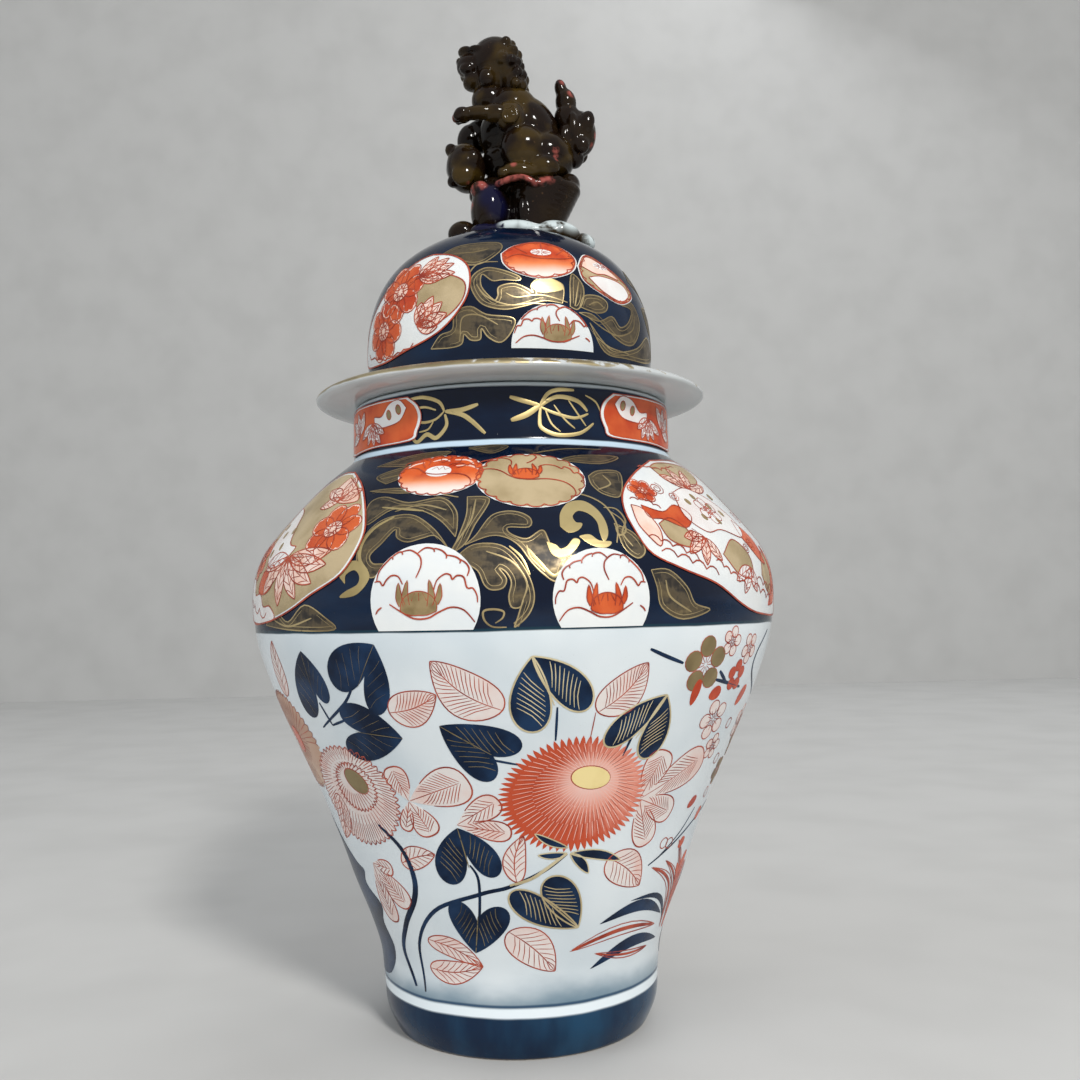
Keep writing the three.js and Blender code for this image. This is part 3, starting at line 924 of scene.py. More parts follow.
# The same flower seen from above, for the oval reserves.
TOP_PEONY = [
    [(-0.96, 0.44), (-0.92, 0.58), (-0.72, 0.70), (-0.53, 0.78), (-0.36, 0.68), (-0.36, 0.46)],
    [(0.04, 0.97), (0.10, 0.86), (0.03, 0.70), (-0.08, 0.58)],
    [(0.13, 0.44), (0.24, 0.54), (0.42, 0.53), (0.56, 0.42), (0.60, 0.50), (0.72, 0.42),
     (0.78, 0.28), (0.86, 0.30), (0.94, 0.14), (0.97, -0.05)],
    [(-0.99, 0.10), (-0.90, 0.26), (-0.72, 0.32), (-0.54, 0.25), (-0.34, 0.05), (-0.06, -0.03),
     (0.27, 0.02), (0.56, -0.04), (0.74, -0.22), (0.80, -0.44), (0.74, -0.60)],
]
# The sepals: where each starts across the heart, and where its tip leans and reaches.
SEPALS = [(-0.98, -1.12, 1.55), (-0.72, -0.62, 1.7), (0.70, 0.58, 1.7), (0.98, 1.18, 1.45)]


def heart_and_sepals(paint, origin, middle, width, height, core):
    """The domed heart of a half-open peony between pointed sepals."""
    middle = Vector(middle)
    turns = [math.pi * (i - 1) / 12 for i in range(15)]
    dome = [middle + Vector((width * math.cos(a), height * math.sin(a))) for a in turns]
    bottom = [middle + Vector((width * x, -height * 0.5)) for x in (-0.45, 0, 0.45)]
    outline = smooth_line([*dome, *bottom, dome[0]], 2)
    for foot, lean, reach in SEPALS:
        root = middle + Vector((width * foot * 0.92, height * 0.1))
        tip = middle + Vector((width * lean, height * reach))
        side = Vector((width * 0.17, height * 0.05))
        belly = root.lerp(tip, 0.4) + Vector((math.copysign(width * 0.1, foot), 0))
        sepal = [root - side, belly - side, tip, belly + side, root + side]
        paint[core].fill(origin, smooth_line([*sepal, sepal[0]], 3))
        paint["line"].lines(origin, [sepal], 0.34, taper=0.7, smooth=3)
    paint[core].fill(origin, outline)
    creases = [[middle + Vector((width * x, height * 0.9)),
                middle + Vector((width * x * 1.9, 0.4 * height))] for x in (-0.2, 0.02, 0.24)]
    paint["line"].lines(origin, [outline, *creases], 0.34, taper=0.7, smooth=1)


def half_peony(paint, middle, radius, cut, core, flip=1):
    """A white round reserve cut off by the line below, with one half-open peony."""
    low = paint.wall.length_at(cut) - paint.wall.length_at(middle[1])
    start = math.asin(max(low / radius, -1))
    angles = [start + (math.pi - 2 * start) * i / 30 for i in range(31)]
    ring = [Vector((radius * math.cos(a), radius * math.sin(a))) for a in angles]
    paint["white"].fill(middle, ring)
    rise = 0.46 + low / radius
    height = radius * (1 - rise * 0.68)
    lines = fitted(SIDE_PEONY, radius * 0.97, height, 0, rise, flip)
    lines = [[p * min(1, radius * 0.975 / p.length) for p in line] for line in lines]
    paint["line"].lines(middle, lines, 0.5, taper=0.55, smooth=4)
    heart = (-0.08 * flip * radius, (rise - 0.06) * height)
    heart_and_sepals(paint, middle, heart, 0.33 * radius, 0.27 * radius, core)


def roundel(paint, middle, rx, ry, tilt, ground, core, heart):
    """An oval reserve filled by one peony seen from above."""
    ring = oval(rx, ry, tilt, count=36)
    paint["white"].fill(middle, ring)
    paint[ground].fill(middle, [p * 0.965 for p in ring])
    lines = [scallops(ring, 19, 0.075), *fitted(TOP_PEONY, rx, ry, tilt)]
    heart = Vector(heart)
    if ground == "fade":
        ridges = [[(-0.86, 0.3), (-0.72, 0.5), (-0.5, 0.62)],
                  [(-0.3, 0.66), (-0.06, 0.78), (0.1, 0.66)],
                  [(0.2, 0.74), (0.5, 0.72), (0.68, 0.5)], [(0.3, 0.4), (0.6, 0.42), (0.86, 0.22)]]
        paint["pink"].lines(middle, fitted(ridges, rx, ry, tilt), 0.7, smooth=4)
        folds = [[(-0.60, 0.86), (-0.50, 0.5), (-0.40, 0.3)], [(-0.16, 0.98), (-0.1, 0.6)],
                 [(0.36, 0.92), (0.34, 0.6), (0.24, 0.4)], [(0.72, 0.66), (0.5, 0.4), (0.34, 0.28)]]
        paint["line"].lines(middle, fitted(folds, rx, ry, tilt), 0.34, smooth=3)
        paint["pale"].fill(middle, oval(rx * 0.30, ry * 0.27, tilt, heart, 16))
        crown = [(-0.9, 0), (-0.5, 0.7), (-0.2, 0), (0.1, 0.8), (0.4, 0), (0.8, 0.5)]
        paint["line"].lines(middle, fitted([crown], rx * 0.24, ry * 0.2, tilt, 1.0), 0.3, smooth=1)
    paint["line"].lines(middle, lines, 0.45, taper=0.6, smooth=3)
    if ground != "fade":
        heart_and_sepals(paint, middle, heart, rx * 0.24, ry * 0.26, core)


def inset(ring, gap):
    """A ring moved inwards by a gap."""
    turned = sum(a.cross(b) for a, b in zip(ring, ring[1:] + ring[:1]))
    side = math.copysign(gap, turned)
    moved = []
    for before, point, after in zip(ring[-1:] + ring[:-1], ring, ring[1:] + ring[:1]):
        along = (after - before).normalized()
        moved.append(point + Vector((-along.y, along.x)) * side)
    return moved


def scroll(paint, places, metal="gilt", leaf="scroll", width=0.42):
    """A gold scroll leaf: a thin gold wash with a brighter gilt edge and a line inside it."""
    ring = paint.loop(places)
    paint[leaf].fill(places[0], ring)
    paint[metal].lines(places[0], [ring], width, taper=0.6, smooth=1)
    if leaf == "scroll":
        inner = inset(ring, 1.15)
        count = len(inner)
        parts = [inner[int(count * a):int(count * b)] for a, b in ((0.04, 0.42), (0.52, 0.94))]
        paint[metal].lines(places[0], parts, 0.24, taper=0.2, smooth=1)


def strand(paint, places, width=0.5, metal="gilt"):
    """One brush stroke of gold along a run of places."""
    paint[metal].lines(places[0], [paint.wall.line(places)], width, 0.35, 6)


roundel(shoulder, (-18.5, 184), 14.3, 9.6, -4, "fade", "core", (-0.6, 1.3))
roundel(shoulder, (4.5, 181.3), 16.9, 12.6, -4, "gold_ground", "red", (-1.5, 1.6))
SHOULDER_LINE = 136.9
half_peony(shoulder, (-16.5, 145.5), 16.8, SHOULDER_LINE, "core")
half_peony(shoulder, (16, 145), 14.8, SHOULDER_LINE, "red", -1)

# Gold scroll leaves: the places round the edge of each, pointed at the first. The curls that
# follow them are the same in bright gold.
SHOULDER_SCROLLS = [
    [(-10, 176), (-5, 175), (-7.5, 167), (-9, 161.5), (-11.5, 159), (-10.5, 163), (-9.5, 170)],
    [(-12, 160), (-15.5, 166), (-20.5, 170.5), (-25, 171), (-29, 169), (-31, 164), (-31, 158.5),
     (-29.5, 154), (-26.5, 152.5), (-24.5, 156), (-27, 156.5), (-28, 159), (-26, 162.5), (-24, 166.5),
     (-23, 164), (-20.5, 162.5), (-17.5, 163.5), (-15, 164)],
    [(-11, 163.5), (-15, 169), (-20.5, 172.5), (-27, 173), (-32, 168.5), (-34.5, 175.5),
     (-31, 177.5), (-23.5, 175), (-16, 176), (-12, 172), (-11, 167)],
    [(-9, 161), (-4.5, 163.5), (-1.5, 163), (1, 160.5), (3, 156), (5, 152.5), (7.5, 150), (9, 154.5),
     (10.5, 157.5), (8.5, 156.5), (7, 159), (6.5, 162), (5.5, 165), (2.5, 162.5), (-0.5, 164),
     (-1, 166), (3, 166), (3.5, 168.5), (1.5, 170.5), (-1.5, 171), (-4.5, 169.5), (-7, 164)],
    [(-10.5, 157.5), (-7.5, 161), (-3, 161), (0, 158), (2.5, 152), (3.5, 146), (2.5, 141), (0, 137.4),
     (0.5, 140), (1.5, 145), (1, 143), (-0.5, 143), (-1, 146), (-0.5, 150), (-1.5, 153), (-2.7, 154),
     (-1.4, 151), (-2, 148.5), (-4, 148), (-5.3, 149.5), (-6.5, 153.5), (-9, 156)],
    [(19, 182.5), (22.5, 184.5), (28.5, 184), (25, 176), (21, 176.5), (19, 179.5)],
    [(20.5, 167), (24, 164), (25.5, 159), (23.5, 156.5), (21, 160)],
    [(26, 153), (30, 153), (34, 148), (36, 143), (40, 141), (33, 138.5), (28, 142), (27, 148)],
    [(-61, 139), (-55, 143), (-50, 140), (-44, 145), (-38, 141), (-36, 137.5), (-48, 137.4)],
    [(-37, 180), (-27, 180), (-12, 176), (-20, 178), (-28, 178.5)],
    [(-13, 193.2), (-6, 194), (-1, 193.2), (-6, 190.8)],
    [(12, 188), (20, 190), (32, 190), (24, 187)], [(-42, 189), (-30, 192), (-18, 192), (-28, 188)],
    [(-33, 182), (-24, 186), (-30, 187.5), (-38, 185)],
    [(80, 141), (86, 158), (82, 178), (90, 190), (97, 172), (95, 156), (103, 142), (92, 150)],
]
for places in SHOULDER_SCROLLS:
    scroll(shoulder, places)
BRIGHT_CURLS = [
    [(9.2, 166), (9.8, 170.2), (12, 173.4), (15.3, 174), (17.6, 171.6), (18.6, 168), (18.4, 164),
     (17.3, 161.6), (16.9, 164), (17, 167.4), (15.8, 170), (13.6, 171), (12, 169.2), (12.4, 167.2),
     (13.6, 166.8), (12.6, 165), (10.6, 164.2)],
    [(6.2, 161.4), (7, 158), (8.6, 156.9), (10.7, 158.2), (12.4, 161.4), (11.4, 162.2), (10, 160),
     (8.6, 159.2), (7.8, 160.4)],
    [(-33, 151), (-35, 155), (-31, 157.5), (-27.5, 153), (-30, 148), (-34, 147), (-32.6, 148.6),
     (-30, 150.4), (-29.6, 153), (-31, 155), (-33, 153.6)],
    [(12.6, 163), (14.6, 163.4), (16.2, 161.6), (18.6, 161.2), (17.4, 159.8), (15.2, 160.2),
     (13.6, 161.6)],
]
for places in BRIGHT_CURLS:
    scroll(shoulder, places, "bright", "bright", 0.4)

# Fine gilt tendrils, and the brighter strokes along the crests of the largest leaves.
SHOULDER_TENDRILS = [
    [(-3.5, 138.6), (-2.2, 140), (-2, 141.8), (-3.7, 142.5), (-5.5, 142), (-5.4, 139.5),
     (-4, 137.6), (-1.5, 137.4)], [(19.5, 172), (22.3, 171.6), (23.3, 168), (21.6, 164), (23, 160)],
    [(8.5, 173), (14, 176.5), (19.5, 173.5), (21, 167), (19.8, 161)],
    [(20.5, 171), (22.6, 168), (22.4, 164.6), (20.8, 163.4), (20.6, 165.6), (22, 166)],
    [(9.8, 156.6), (12, 157.6), (14, 156.4), (13.4, 154.8)], [(5.5, 152.8), (3, 157), (2.4, 160.6)],
    [(1.5, 145), (2.2, 150), (-0.5, 156), (-5, 159)], [(20, 178), (24, 180), (23, 183)],
    [(-8, 175), (-8.5, 168), (-11, 161)], [(29, 150), (30, 145), (35, 140.5)],
    [(-26, 172.3), (-20, 174), (-14, 172)], [(-57, 141), (-50, 138.6), (-42, 141)],
    [(-36, 184), (-28, 185), (-22, 184)], [(6, 190.5), (16, 192.3), (28, 192.6)],
]
for places in SHOULDER_TENDRILS:
    strand(shoulder, places, 0.6)
SHOULDER_CRESTS = [
    ([(-25.5, 170.6), (-29, 167.6), (-30.6, 163), (-30.2, 158), (-28, 154.4)], 1.3),
    ([(-30, 174), (-24.5, 173), (-19, 172)], 0.8),
    ([(2.6, 159.6), (4.6, 155.6), (7, 151.6), (8.8, 153.6)], 1.0),
    ([(-0.8, 160.4), (1.4, 157), (2.8, 152)], 0.7),
]
for places, width in SHOULDER_CRESTS:
    strand(shoulder, places, width, "bright")


def shrunk(ring, share):
    """A ring drawn in towards its middle."""
    middle = sum(ring, Vector((0, 0))) / len(ring)
    return [middle.lerp(point, share) for point in ring]


def panel(paint, border, ground):
    """A large reserve with a shaped edge and, where it has one, a coloured ground."""
    ring = paint.loop(border)
    paint["white"].fill(border[0], ring)
    if ground:
        paint[ground].fill(border[0], shrunk(ring, 0.965))
    paint["line"].lines(border[0], [ring], 0.55, taper=0.9, smooth=1)


def peony(paint, middle, size, petals, turn, outer="red", inner="pink"):
    """A full-blown peony: overlapping round petals with pale edges about a pale heart."""
    for i in range(petals):
        angle = math.tau * i / petals + turn
        spot = Vector((math.cos(angle), math.sin(angle))) * size * 0.6
        ring = oval(size * 0.46, size * 0.38, math.degrees(angle), spot, 16)
        paint[outer].fill(middle, ring)
        edge = scallops(ring, 5, 0.12, (-0.28, 0.28))
        paint["line"].ring(middle, ring, 0.4, 0.7)
        paint["pink"].lines(middle, [edge], 0.7, 0.4, 1)
    heart = oval(size * 0.36, size * 0.32, count=16)
    paint[inner].fill(middle, heart)
    paint["line"].lines(middle, [heart], 0.4, 0.8, 1)
    paint["line"].lines(middle, rays(size * 0.3, size * 0.3, 8, 0.3, 1), 0.3)


def foliage(paint, root, ends, width, fill="pink"):
    """A fan of outlined leaves from one root."""
    for end in ends:
        leaflet = Leaf(paint.wall, root, end, width, 0.04, 0.9, 0.9)
        outline = leaflet.outline(10)
        paint[fill].fill(root, outline)
        paint["line"].lines(root, [outline], 0.4, 0.7, 1)
        paint["line"].lines(root, [leaflet.midrib(0.95), *leaflet.veins(4, 0.2, 0.85)], 0.24)


def clouds(paint, places, humps=2):
    """A bank of round-topped clouds along a run of places."""
    flat = paint.wall.line(places)
    line = []
    steps = 8
    for start, end in zip(flat, flat[1:]):
        side = Vector((start.y - end.y, end.x - start.x))
        for i in range(steps):
            share = i / steps
            rise = abs(math.sin(math.pi * share * humps)) ** 0.7
            line.append(start.lerp(end, share) + side * 0.3 / humps * rise)
    line.append(flat[-1])
    paint["line"].lines(places[0], [line], 0.5, 0.6, 1)


def whirl(paint, middle, size):
    """A brush-drawn spiral."""
    turns = 2.2
    steps = 20
    line = []
    for i in range(steps + 1):
        angle = math.tau * turns * i / steps
        line.append(Vector((math.cos(angle), math.sin(angle))) * size * (0.15 + 0.85 * i / steps))
    paint["line"].lines(middle, [line], 0.3, 0.5, 1)


def drifts(paint, patches):
    """Outlined patches of colour in a panel: each one's edge and its colour."""
    for places, fill in patches:
        scroll(paint, places, "line", fill, 0.4)


def spots(paint, colour, places, rx, ry, tilt=0, count=10):
    """Small oval dots of one colour."""
    for place in places:
        paint[colour].fill(place, oval(rx, ry, tilt, count=count))


# The left panel: clouds, a spotted drift and two peonies with their foliage on dull gold.
LEFT_PANEL = [(-51, 188), (-41, 182), (-33, 171), (-31, 163), (-34, 154), (-42, 148), (-50, 143),
              (-60, 140), (-73, 140), (-77, 148), (-74, 163), (-70, 180), (-60, 188)]
panel(shoulder, LEFT_PANEL, "gold_ground")
drifts(shoulder, [
    ([(-78, 141), (-66, 139.5), (-56, 141), (-58, 145), (-62, 145), (-64, 149), (-69, 149),
      (-71, 154), (-77, 153)], "pale"),
    ([(-70, 178), (-62, 175), (-55, 165), (-51, 163), (-55, 158), (-62, 158), (-66, 166)], "pale"),
    ([(-64, 156), (-58, 158), (-57, 152), (-61, 149), (-66, 150)], "red"),
    ([(-50, 186), (-43, 182), (-39, 177), (-46, 177), (-52, 181)], "pink"),
])
spots(shoulder, "core", [(-62, 168), (-59, 164), (-66, 171), (-63, 162), (-58, 169)], 1.1, 1.6, 20)
peony(shoulder, (-41, 168), 10.4, 7, 0.2)
foliage(shoulder, (-46, 178), ((-40, 181), (-47, 186), (-55, 182), (-53, 176)), 5.0)
foliage(shoulder, (-52, 160), ((-38.5, 157), (-42, 151.5), (-47, 147), (-54, 145), (-62, 149),
                               (-63, 157), (-38, 161)), 6.0)
peony(shoulder, (-70, 161), 7.4, 6, 0.5)
clouds(shoulder, [(-60, 143), (-70, 146), (-78, 149)])

# The right panel: drifts, whirls and banks of clouds round a pale spotted form, on white.
RIGHT_PANEL = [(44, 189.5), (33, 184), (26, 177), (24, 169), (26, 159), (33, 153.5), (42, 149),
               (51, 142.5), (60, 139.5), (76, 139.5), (79, 148), (78, 165), (76, 182), (66, 191)]
panel(shoulder, RIGHT_PANEL, None)
drifts(shoulder, [
    ([(41, 187), (44, 182), (53, 181), (62, 184), (66, 189), (56, 189.6), (46, 188.8)], "gold_ground"),
    ([(31, 167), (35, 169), (38, 165), (37, 160), (32, 162)], "gold_ground"),
    ([(46, 158), (52, 163), (57, 158), (56, 151), (50, 152)], "gold_ground"),
    ([(62, 152), (67, 160), (72, 153), (70, 146), (65, 147)], "gold_ground"),
    ([(26.4, 173), (29, 171.5), (30.5, 165), (29, 160), (26, 166)], "pink"),
    ([(29, 173), (34, 171), (39, 173.5), (42, 170), (38, 166), (33, 168.5), (29.5, 169)], "red"),
    ([(60, 170), (65, 165), (67, 156), (62, 158), (58, 164)], "red"),
    ([(66, 142), (70, 152), (69, 162), (74, 154), (73, 144)], "red"),
    ([(42, 178), (49, 180), (58, 176), (62, 169), (58, 164), (50, 166), (44, 165), (40, 170)], "pale"),
])
spots(shoulder, "core", [(45, 175), (49, 177), (53, 174), (57, 172), (47, 170), (52, 169),
                         (60, 178)], 1.2, 1.5, 20)
spots(shoulder, "red", [(47, 172.5), (55, 176.5), (57, 168), (50.5, 173)], 0.8, 1.0, count=8)
for spot, size in (((37, 179), 3.0), ((41, 176.5), 2.4), ((39, 164), 2.4), ((61, 162), 3.2),
                   ((57, 160.5), 2.2), ((68, 172), 3.4)):
    whirl(shoulder, spot, size)
peony(shoulder, (32, 178), 5.0, 6, 0.9)
peony(shoulder, (51, 172.5), 5.6, 6, 0.4, "pale", "red")
foliage(shoulder, (42, 163), ((36, 158), (40, 154.5), (45, 156), (36, 163)), 3.8)
foliage(shoulder, (50, 180), ((42, 184), (48, 187), (56, 187), (62, 182)), 4.2)
foliage(shoulder, (56, 154), ((49, 150), (52, 146), (58, 146.5)), 4.2, "pale")
for bank in ([(27, 163), (32, 160), (38, 156)], [(29, 158.5), (36, 155), (43, 151.5)],
             [(43, 156), (47, 152), (53, 147)], [(52, 150), (60, 146), (68, 143)],
             [(58, 150), (66, 147), (76, 146)], [(27, 175), (31, 174.5), (34, 172)]):
    clouds(shoulder, bank)
clouds(shoulder, [(36, 186.5), (45, 186), (54, 188)], 3)


# ------------------------------------------------------------------ the neck
# The neck is painted like the shoulder: two red panels with white flowers at the sides, and
# gold fruit with ribbons in front.

NECK_PANEL = [(36, 212), (32, 209), (30.5, 205), (32, 200.5), (35, 197.5), (55, 197.2), (78, 197.5),
              (81, 205), (78, 212), (56, 212.4)]
NECK_FAN = [(36.6, 208.6), (40, 211.6), (45, 210.7), (49, 207.2), (53.5, 207.4), (52, 204),
            (46.4, 203.4), (39.7, 204.6)]
NECK_LEAF = [(84, 205), (88, 210), (96, 208), (98, 202), (90, 199)]
LOW_SPRAY = [(47.5, 201.5), (49.5, 198.2), (53.5, 197.8), (58, 198.4), (63, 201)]
HIGH_SPRAY = [(61, 210.5), (68, 211), (74, 208), (75, 201)]
NECK_DROPS = [(40.3, 208.4), (45, 207.2)]
for side in (1, -1):
    edge, fan, leaf, low, high, drops = (
        [(turn * side, z) for turn, z in places]
        for places in (NECK_PANEL, NECK_FAN, NECK_LEAF, LOW_SPRAY, HIGH_SPRAY, NECK_DROPS))
    ring = shoulder.loop(edge, 4)
    shoulder["white"].fill(edge[0], ring)
    shoulder["red"].fill(edge[0], shrunk(ring, 0.93))
    shoulder["line"].lines(edge[0], [ring], 0.35, 0.8, 1)
    scroll(shoulder, fan, "line", "pale", 0.35)
    for place in drops:
        drop = oval(1.1, 1.7, -20 * side, count=10)
        shoulder["core"].fill(place, drop)
        shoulder["line"].ring(place, drop, 0.4, 0.9)
    foliage(shoulder, (54.5 * side, 205.5), low, 3.0, "pale")
    foliage(shoulder, (66 * side, 203), high, 3.8, "pale")
    scroll(shoulder, leaf)

# The gold fruit and the loose ends of its ribbon, in brush strokes with their widths.
NECK_STROKES = [
    ([(9.4, 206.7), (4, 208.2), (-0.3, 209.5)], 1.5), ([(9.4, 206.7), (5, 203.8), (0, 202)], 1.9),
    ([(9.4, 206.7), (12, 210.5), (15.6, 211.9), (21, 212)], 1.3),
    ([(9.6, 206.6), (15, 209.6), (22, 208.6), (25.7, 205.4)], 1.4),
    ([(9.6, 206.2), (14, 204.4), (21, 203), (26, 204.6)], 1.0),
    ([(9.6, 206), (9.2, 202.5), (9.9, 199.4), (15.2, 197.3), (22.8, 198.2), (27.9, 201.6)], 1.3),
    ([(11, 205.8), (13, 201), (16, 198.4)], 0.6), ([(14, 207), (17.5, 202.5), (21, 199.6)], 0.6),
    ([(19, 208.6), (22, 204.6), (25, 200.6)], 0.6), ([(25, 210.6), (29, 208.6), (31, 205)], 0.6),
    ([(-21.7, 205.9), (-16, 206), (-10.5, 207.5)], 1.5),
    ([(-21.7, 205.9), (-15, 204), (-8.3, 198)], 1.5),
    ([(-22, 206), (-24, 209.2), (-30, 211.2), (-36.7, 211)], 1.2),
    ([(-22, 206), (-25.5, 203.5), (-31, 203.2), (-36, 206.6), (-30, 208), (-25, 206.6)], 0.9),
    ([(-21.8, 205), (-21.3, 201.2), (-24.9, 197.6), (-28.5, 199), (-32.4, 196.8),
      (-35.4, 200.1)], 1.4),
    ([(-26, 203), (-28, 200.6), (-31.5, 200)], 0.6),
]
for places, width in NECK_STROKES:
    strand(shoulder, places, width, "bright")
for enamel in shoulder.values():
    enamel.finish()


# ------------------------------------------------------------------ the lid and its collar
# The domed lid is thrown in one piece with its wide flat brim, which rests on the neck's rim.
# A plain ring luted under it drops inside the neck and keeps it in place.

LID_SEAT = 215.0
BRIM_TOP = 219.6
DOME_SPRING = 236.0
DOME_TOP = 279.5
DOME_OUTLINE = smooth_line([
    (51.1, 222.6), (51.5, 236), (50.6, 246), (47.2, 256), (41.8, 264), (34.6, 270), (25, 275),
    (13, 278.5), (0, DOME_TOP),
], 8)
dome_inside = []
for r, z in DOME_OUTLINE[::2]:
    lean = max(0, z - DOME_SPRING) / (DOME_TOP - DOME_SPRING)
    dome_inside.append(Vector((r * 0.891, z - 5.6 * lean)))
brim_edge = interpolate_bezier(Vector((66.6, 215.5)), Vector((70.9, 216.6)),
                               Vector((71.1, 218.0)), Vector((67.2, BRIM_TOP)), 10)


def lid_glaze():
    """Navy on the dome, and a white brim with gold rubbed from its upper edge."""
    glaze = Glaze("lid_glaze")
    x, y, z = glaze.axis("X"), glaze.axis("Y"), glaze.axis("Z")
    radius = (x * x + y * y).root()
    navy = navy_ground(glaze)
    wear = glaze.noise(220, detail=5.0) + (x / 70) * 0.26
    rubbed = wear.rise(0.54, 0.66)
    gold_band = (z + (glaze.noise(70, detail=2.0) - 0.5) * 1.6).rise(217.2, 217.8)
    gold_share = gold_band * radius.rise(61.6, 62.4) * (1 - rubbed) * (1 - z.rise(219.8, 220.2))
    porcelain = glaze.mix(glaze.noise(30).rise(0.3, 0.7), (0.60, 0.62, 0.62), (0.52, 0.55, 0.56))
    top = (1 - radius.rise(60.3, 60.9)) * z.rise(218.4, 218.8)
    ground = glaze.mix(top, porcelain, navy)
    tone = glaze.noise(60).rise(0.35, 0.7)
    gold = glaze.mix(tone, (0.55, 0.46, 0.27), (0.36, 0.29, 0.16))
    ground = glaze.mix(gold_share, ground, gold)
    glassy(glaze).set(Base_Color=ground, Metallic=gold_share * 0.85)
    return glaze.set(Roughness=0.11 + gold_share * 0.24)


lid = spun("lid_glazed_dome", [
    (45.8, LID_SEAT), (57.6, LID_SEAT), (62, 215.2), *brim_edge, (63.5, 219.2), (60, 218.9),
    (56, 219.0), (53.2, 219.4), (51.8, 220.4), *DOME_OUTLINE, *reversed(dome_inside),
    (45.6, 219), (45.8, LID_SEAT),
])
finished(lid, "lid", "lid", "painted_lid", lid_glaze(), plain_glaze())
for face in lid.data.polygons:
    middle = face.center / MM
    inward = face.normal.x * middle.x + face.normal.y * middle.y < 0 or face.normal.z < -0.3
    face.material_index = int(inward and math.hypot(middle.x, middle.y) < 50)

collar = spun("lid_collar_ring", [
    (45.8, 214.7), (45.6, 214.2), (45.6, 200.4), (46.3, 199.7), (48.9, 199.7), (49.6, 200.4),
    (49.6, 214.2), (49.4, 214.7), (45.8, 214.7),
])
finished(collar, "lid", "lid_collar", "plain_glaze", bare_porcelain())


# ------------------------------------------------------------------ the painted dome
# The dome repeats the shoulder's scheme on a smaller scale: reserves with peonies, and gold
# scroll leaves over the navy.

dome_wall = Wall(DOME_OUTLINE, "lid", "painted_lid")
dome = Painting("dome", dome_wall)

# On the left a leaf-shaped medallion with two peonies, and on the right two tilted ovals.
LEFT_MEDALLION = [(-35, 262), (-42, 261), (-53, 256), (-64, 249), (-74, 240), (-78, 230), (-58, 227),
                  (-42, 229), (-27, 233), (-18, 240), (-14.5, 247), (-16, 255), (-24, 260)]
panel(dome, LEFT_MEDALLION, None)
drifts(dome, [([(-40, 253), (-30, 254), (-17.5, 250), (-16.5, 244), (-22, 238.5), (-32, 235),
                (-36, 242)], "gold_ground")])
peony(dome, (-47, 250), 10.6, 7, 0.2)
peony(dome, (-56, 238), 10.2, 7, 0.7)
foliage(dome, (-38, 254),
        ((-22, 256.5), (-21, 253), (-25, 259), (-31, 260.5), (-26, 251.5)), 4.2)
foliage(dome, (-36, 236.5), ((-23, 239), (-25, 243), (-29, 245.5), (-34, 244), (-27, 235)), 4.6)
clouds(dome, [(-38, 231), (-52, 229), (-72, 233)], 3)

RED_ROUNDEL = [(-3, 259), (3, 262.5), (15, 264.5), (25, 262.5), (29.5, 258), (25, 252.5), (13, 249.5),
               (3, 251.5), (-2, 255)]


def oval_peony(paint, border, ground, heart):
    """A tilted oval reserve with a peony whose lower petal fades to white."""
    ring = paint.loop(border)
    middle = sum(ring, Vector((0, 0))) / len(ring)
    paint["white"].fill(border[0], ring)
    inner = shrunk(ring, 0.95)
    paint[ground].fill(border[0], inner, middle)
    spot = paint.wall.plan(border[0], heart)
    paint["pale"].fill(border[0], oval(3.6, 1.5, 0, spot, 14))
    crown = [[p + spot for p in line] for line in rays(3.2, 1.4, 9, 0.2, 1)]
    paint["line"].lines(border[0], crown, 0.3)
    paint["line"].lines(border[0], [inner + inner[:1], scallops(inner, 15, 0.09)], 0.4, 0.7, 1)


oval_peony(dome, RED_ROUNDEL, "fade", (14, 259.8))
for places in ([(-1.5, 256.5), (4, 258.6), (12, 257.4), (21, 257.6), (28, 258.6)],
               [(3, 261.5), (8, 259)], [(15, 263.8), (14.5, 261)], [(25, 261.6), (20.5, 259.2)]):
    strand(dome, places, 0.4, "line")
PALE_ROUNDEL = [(29, 256), (36, 261.5), (46, 258.5), (57, 253), (58, 248.5), (48, 244.5), (38, 246.5),
                (30, 250.5)]
oval_peony(dome, PALE_ROUNDEL, "gold_ground", (42, 257.5))
drifts(dome, [
    ([(31, 256), (36, 260.4), (45, 257.6), (51, 254), (43, 254.5), (37, 254)], "pink"),
    ([(33, 252), (40, 253.4), (52, 252.6), (55, 249), (48, 245.6), (39, 247.6)], "pale"),
])
half_peony(dome, (16.5, 227), 14.2, 226.3, "core", -1)

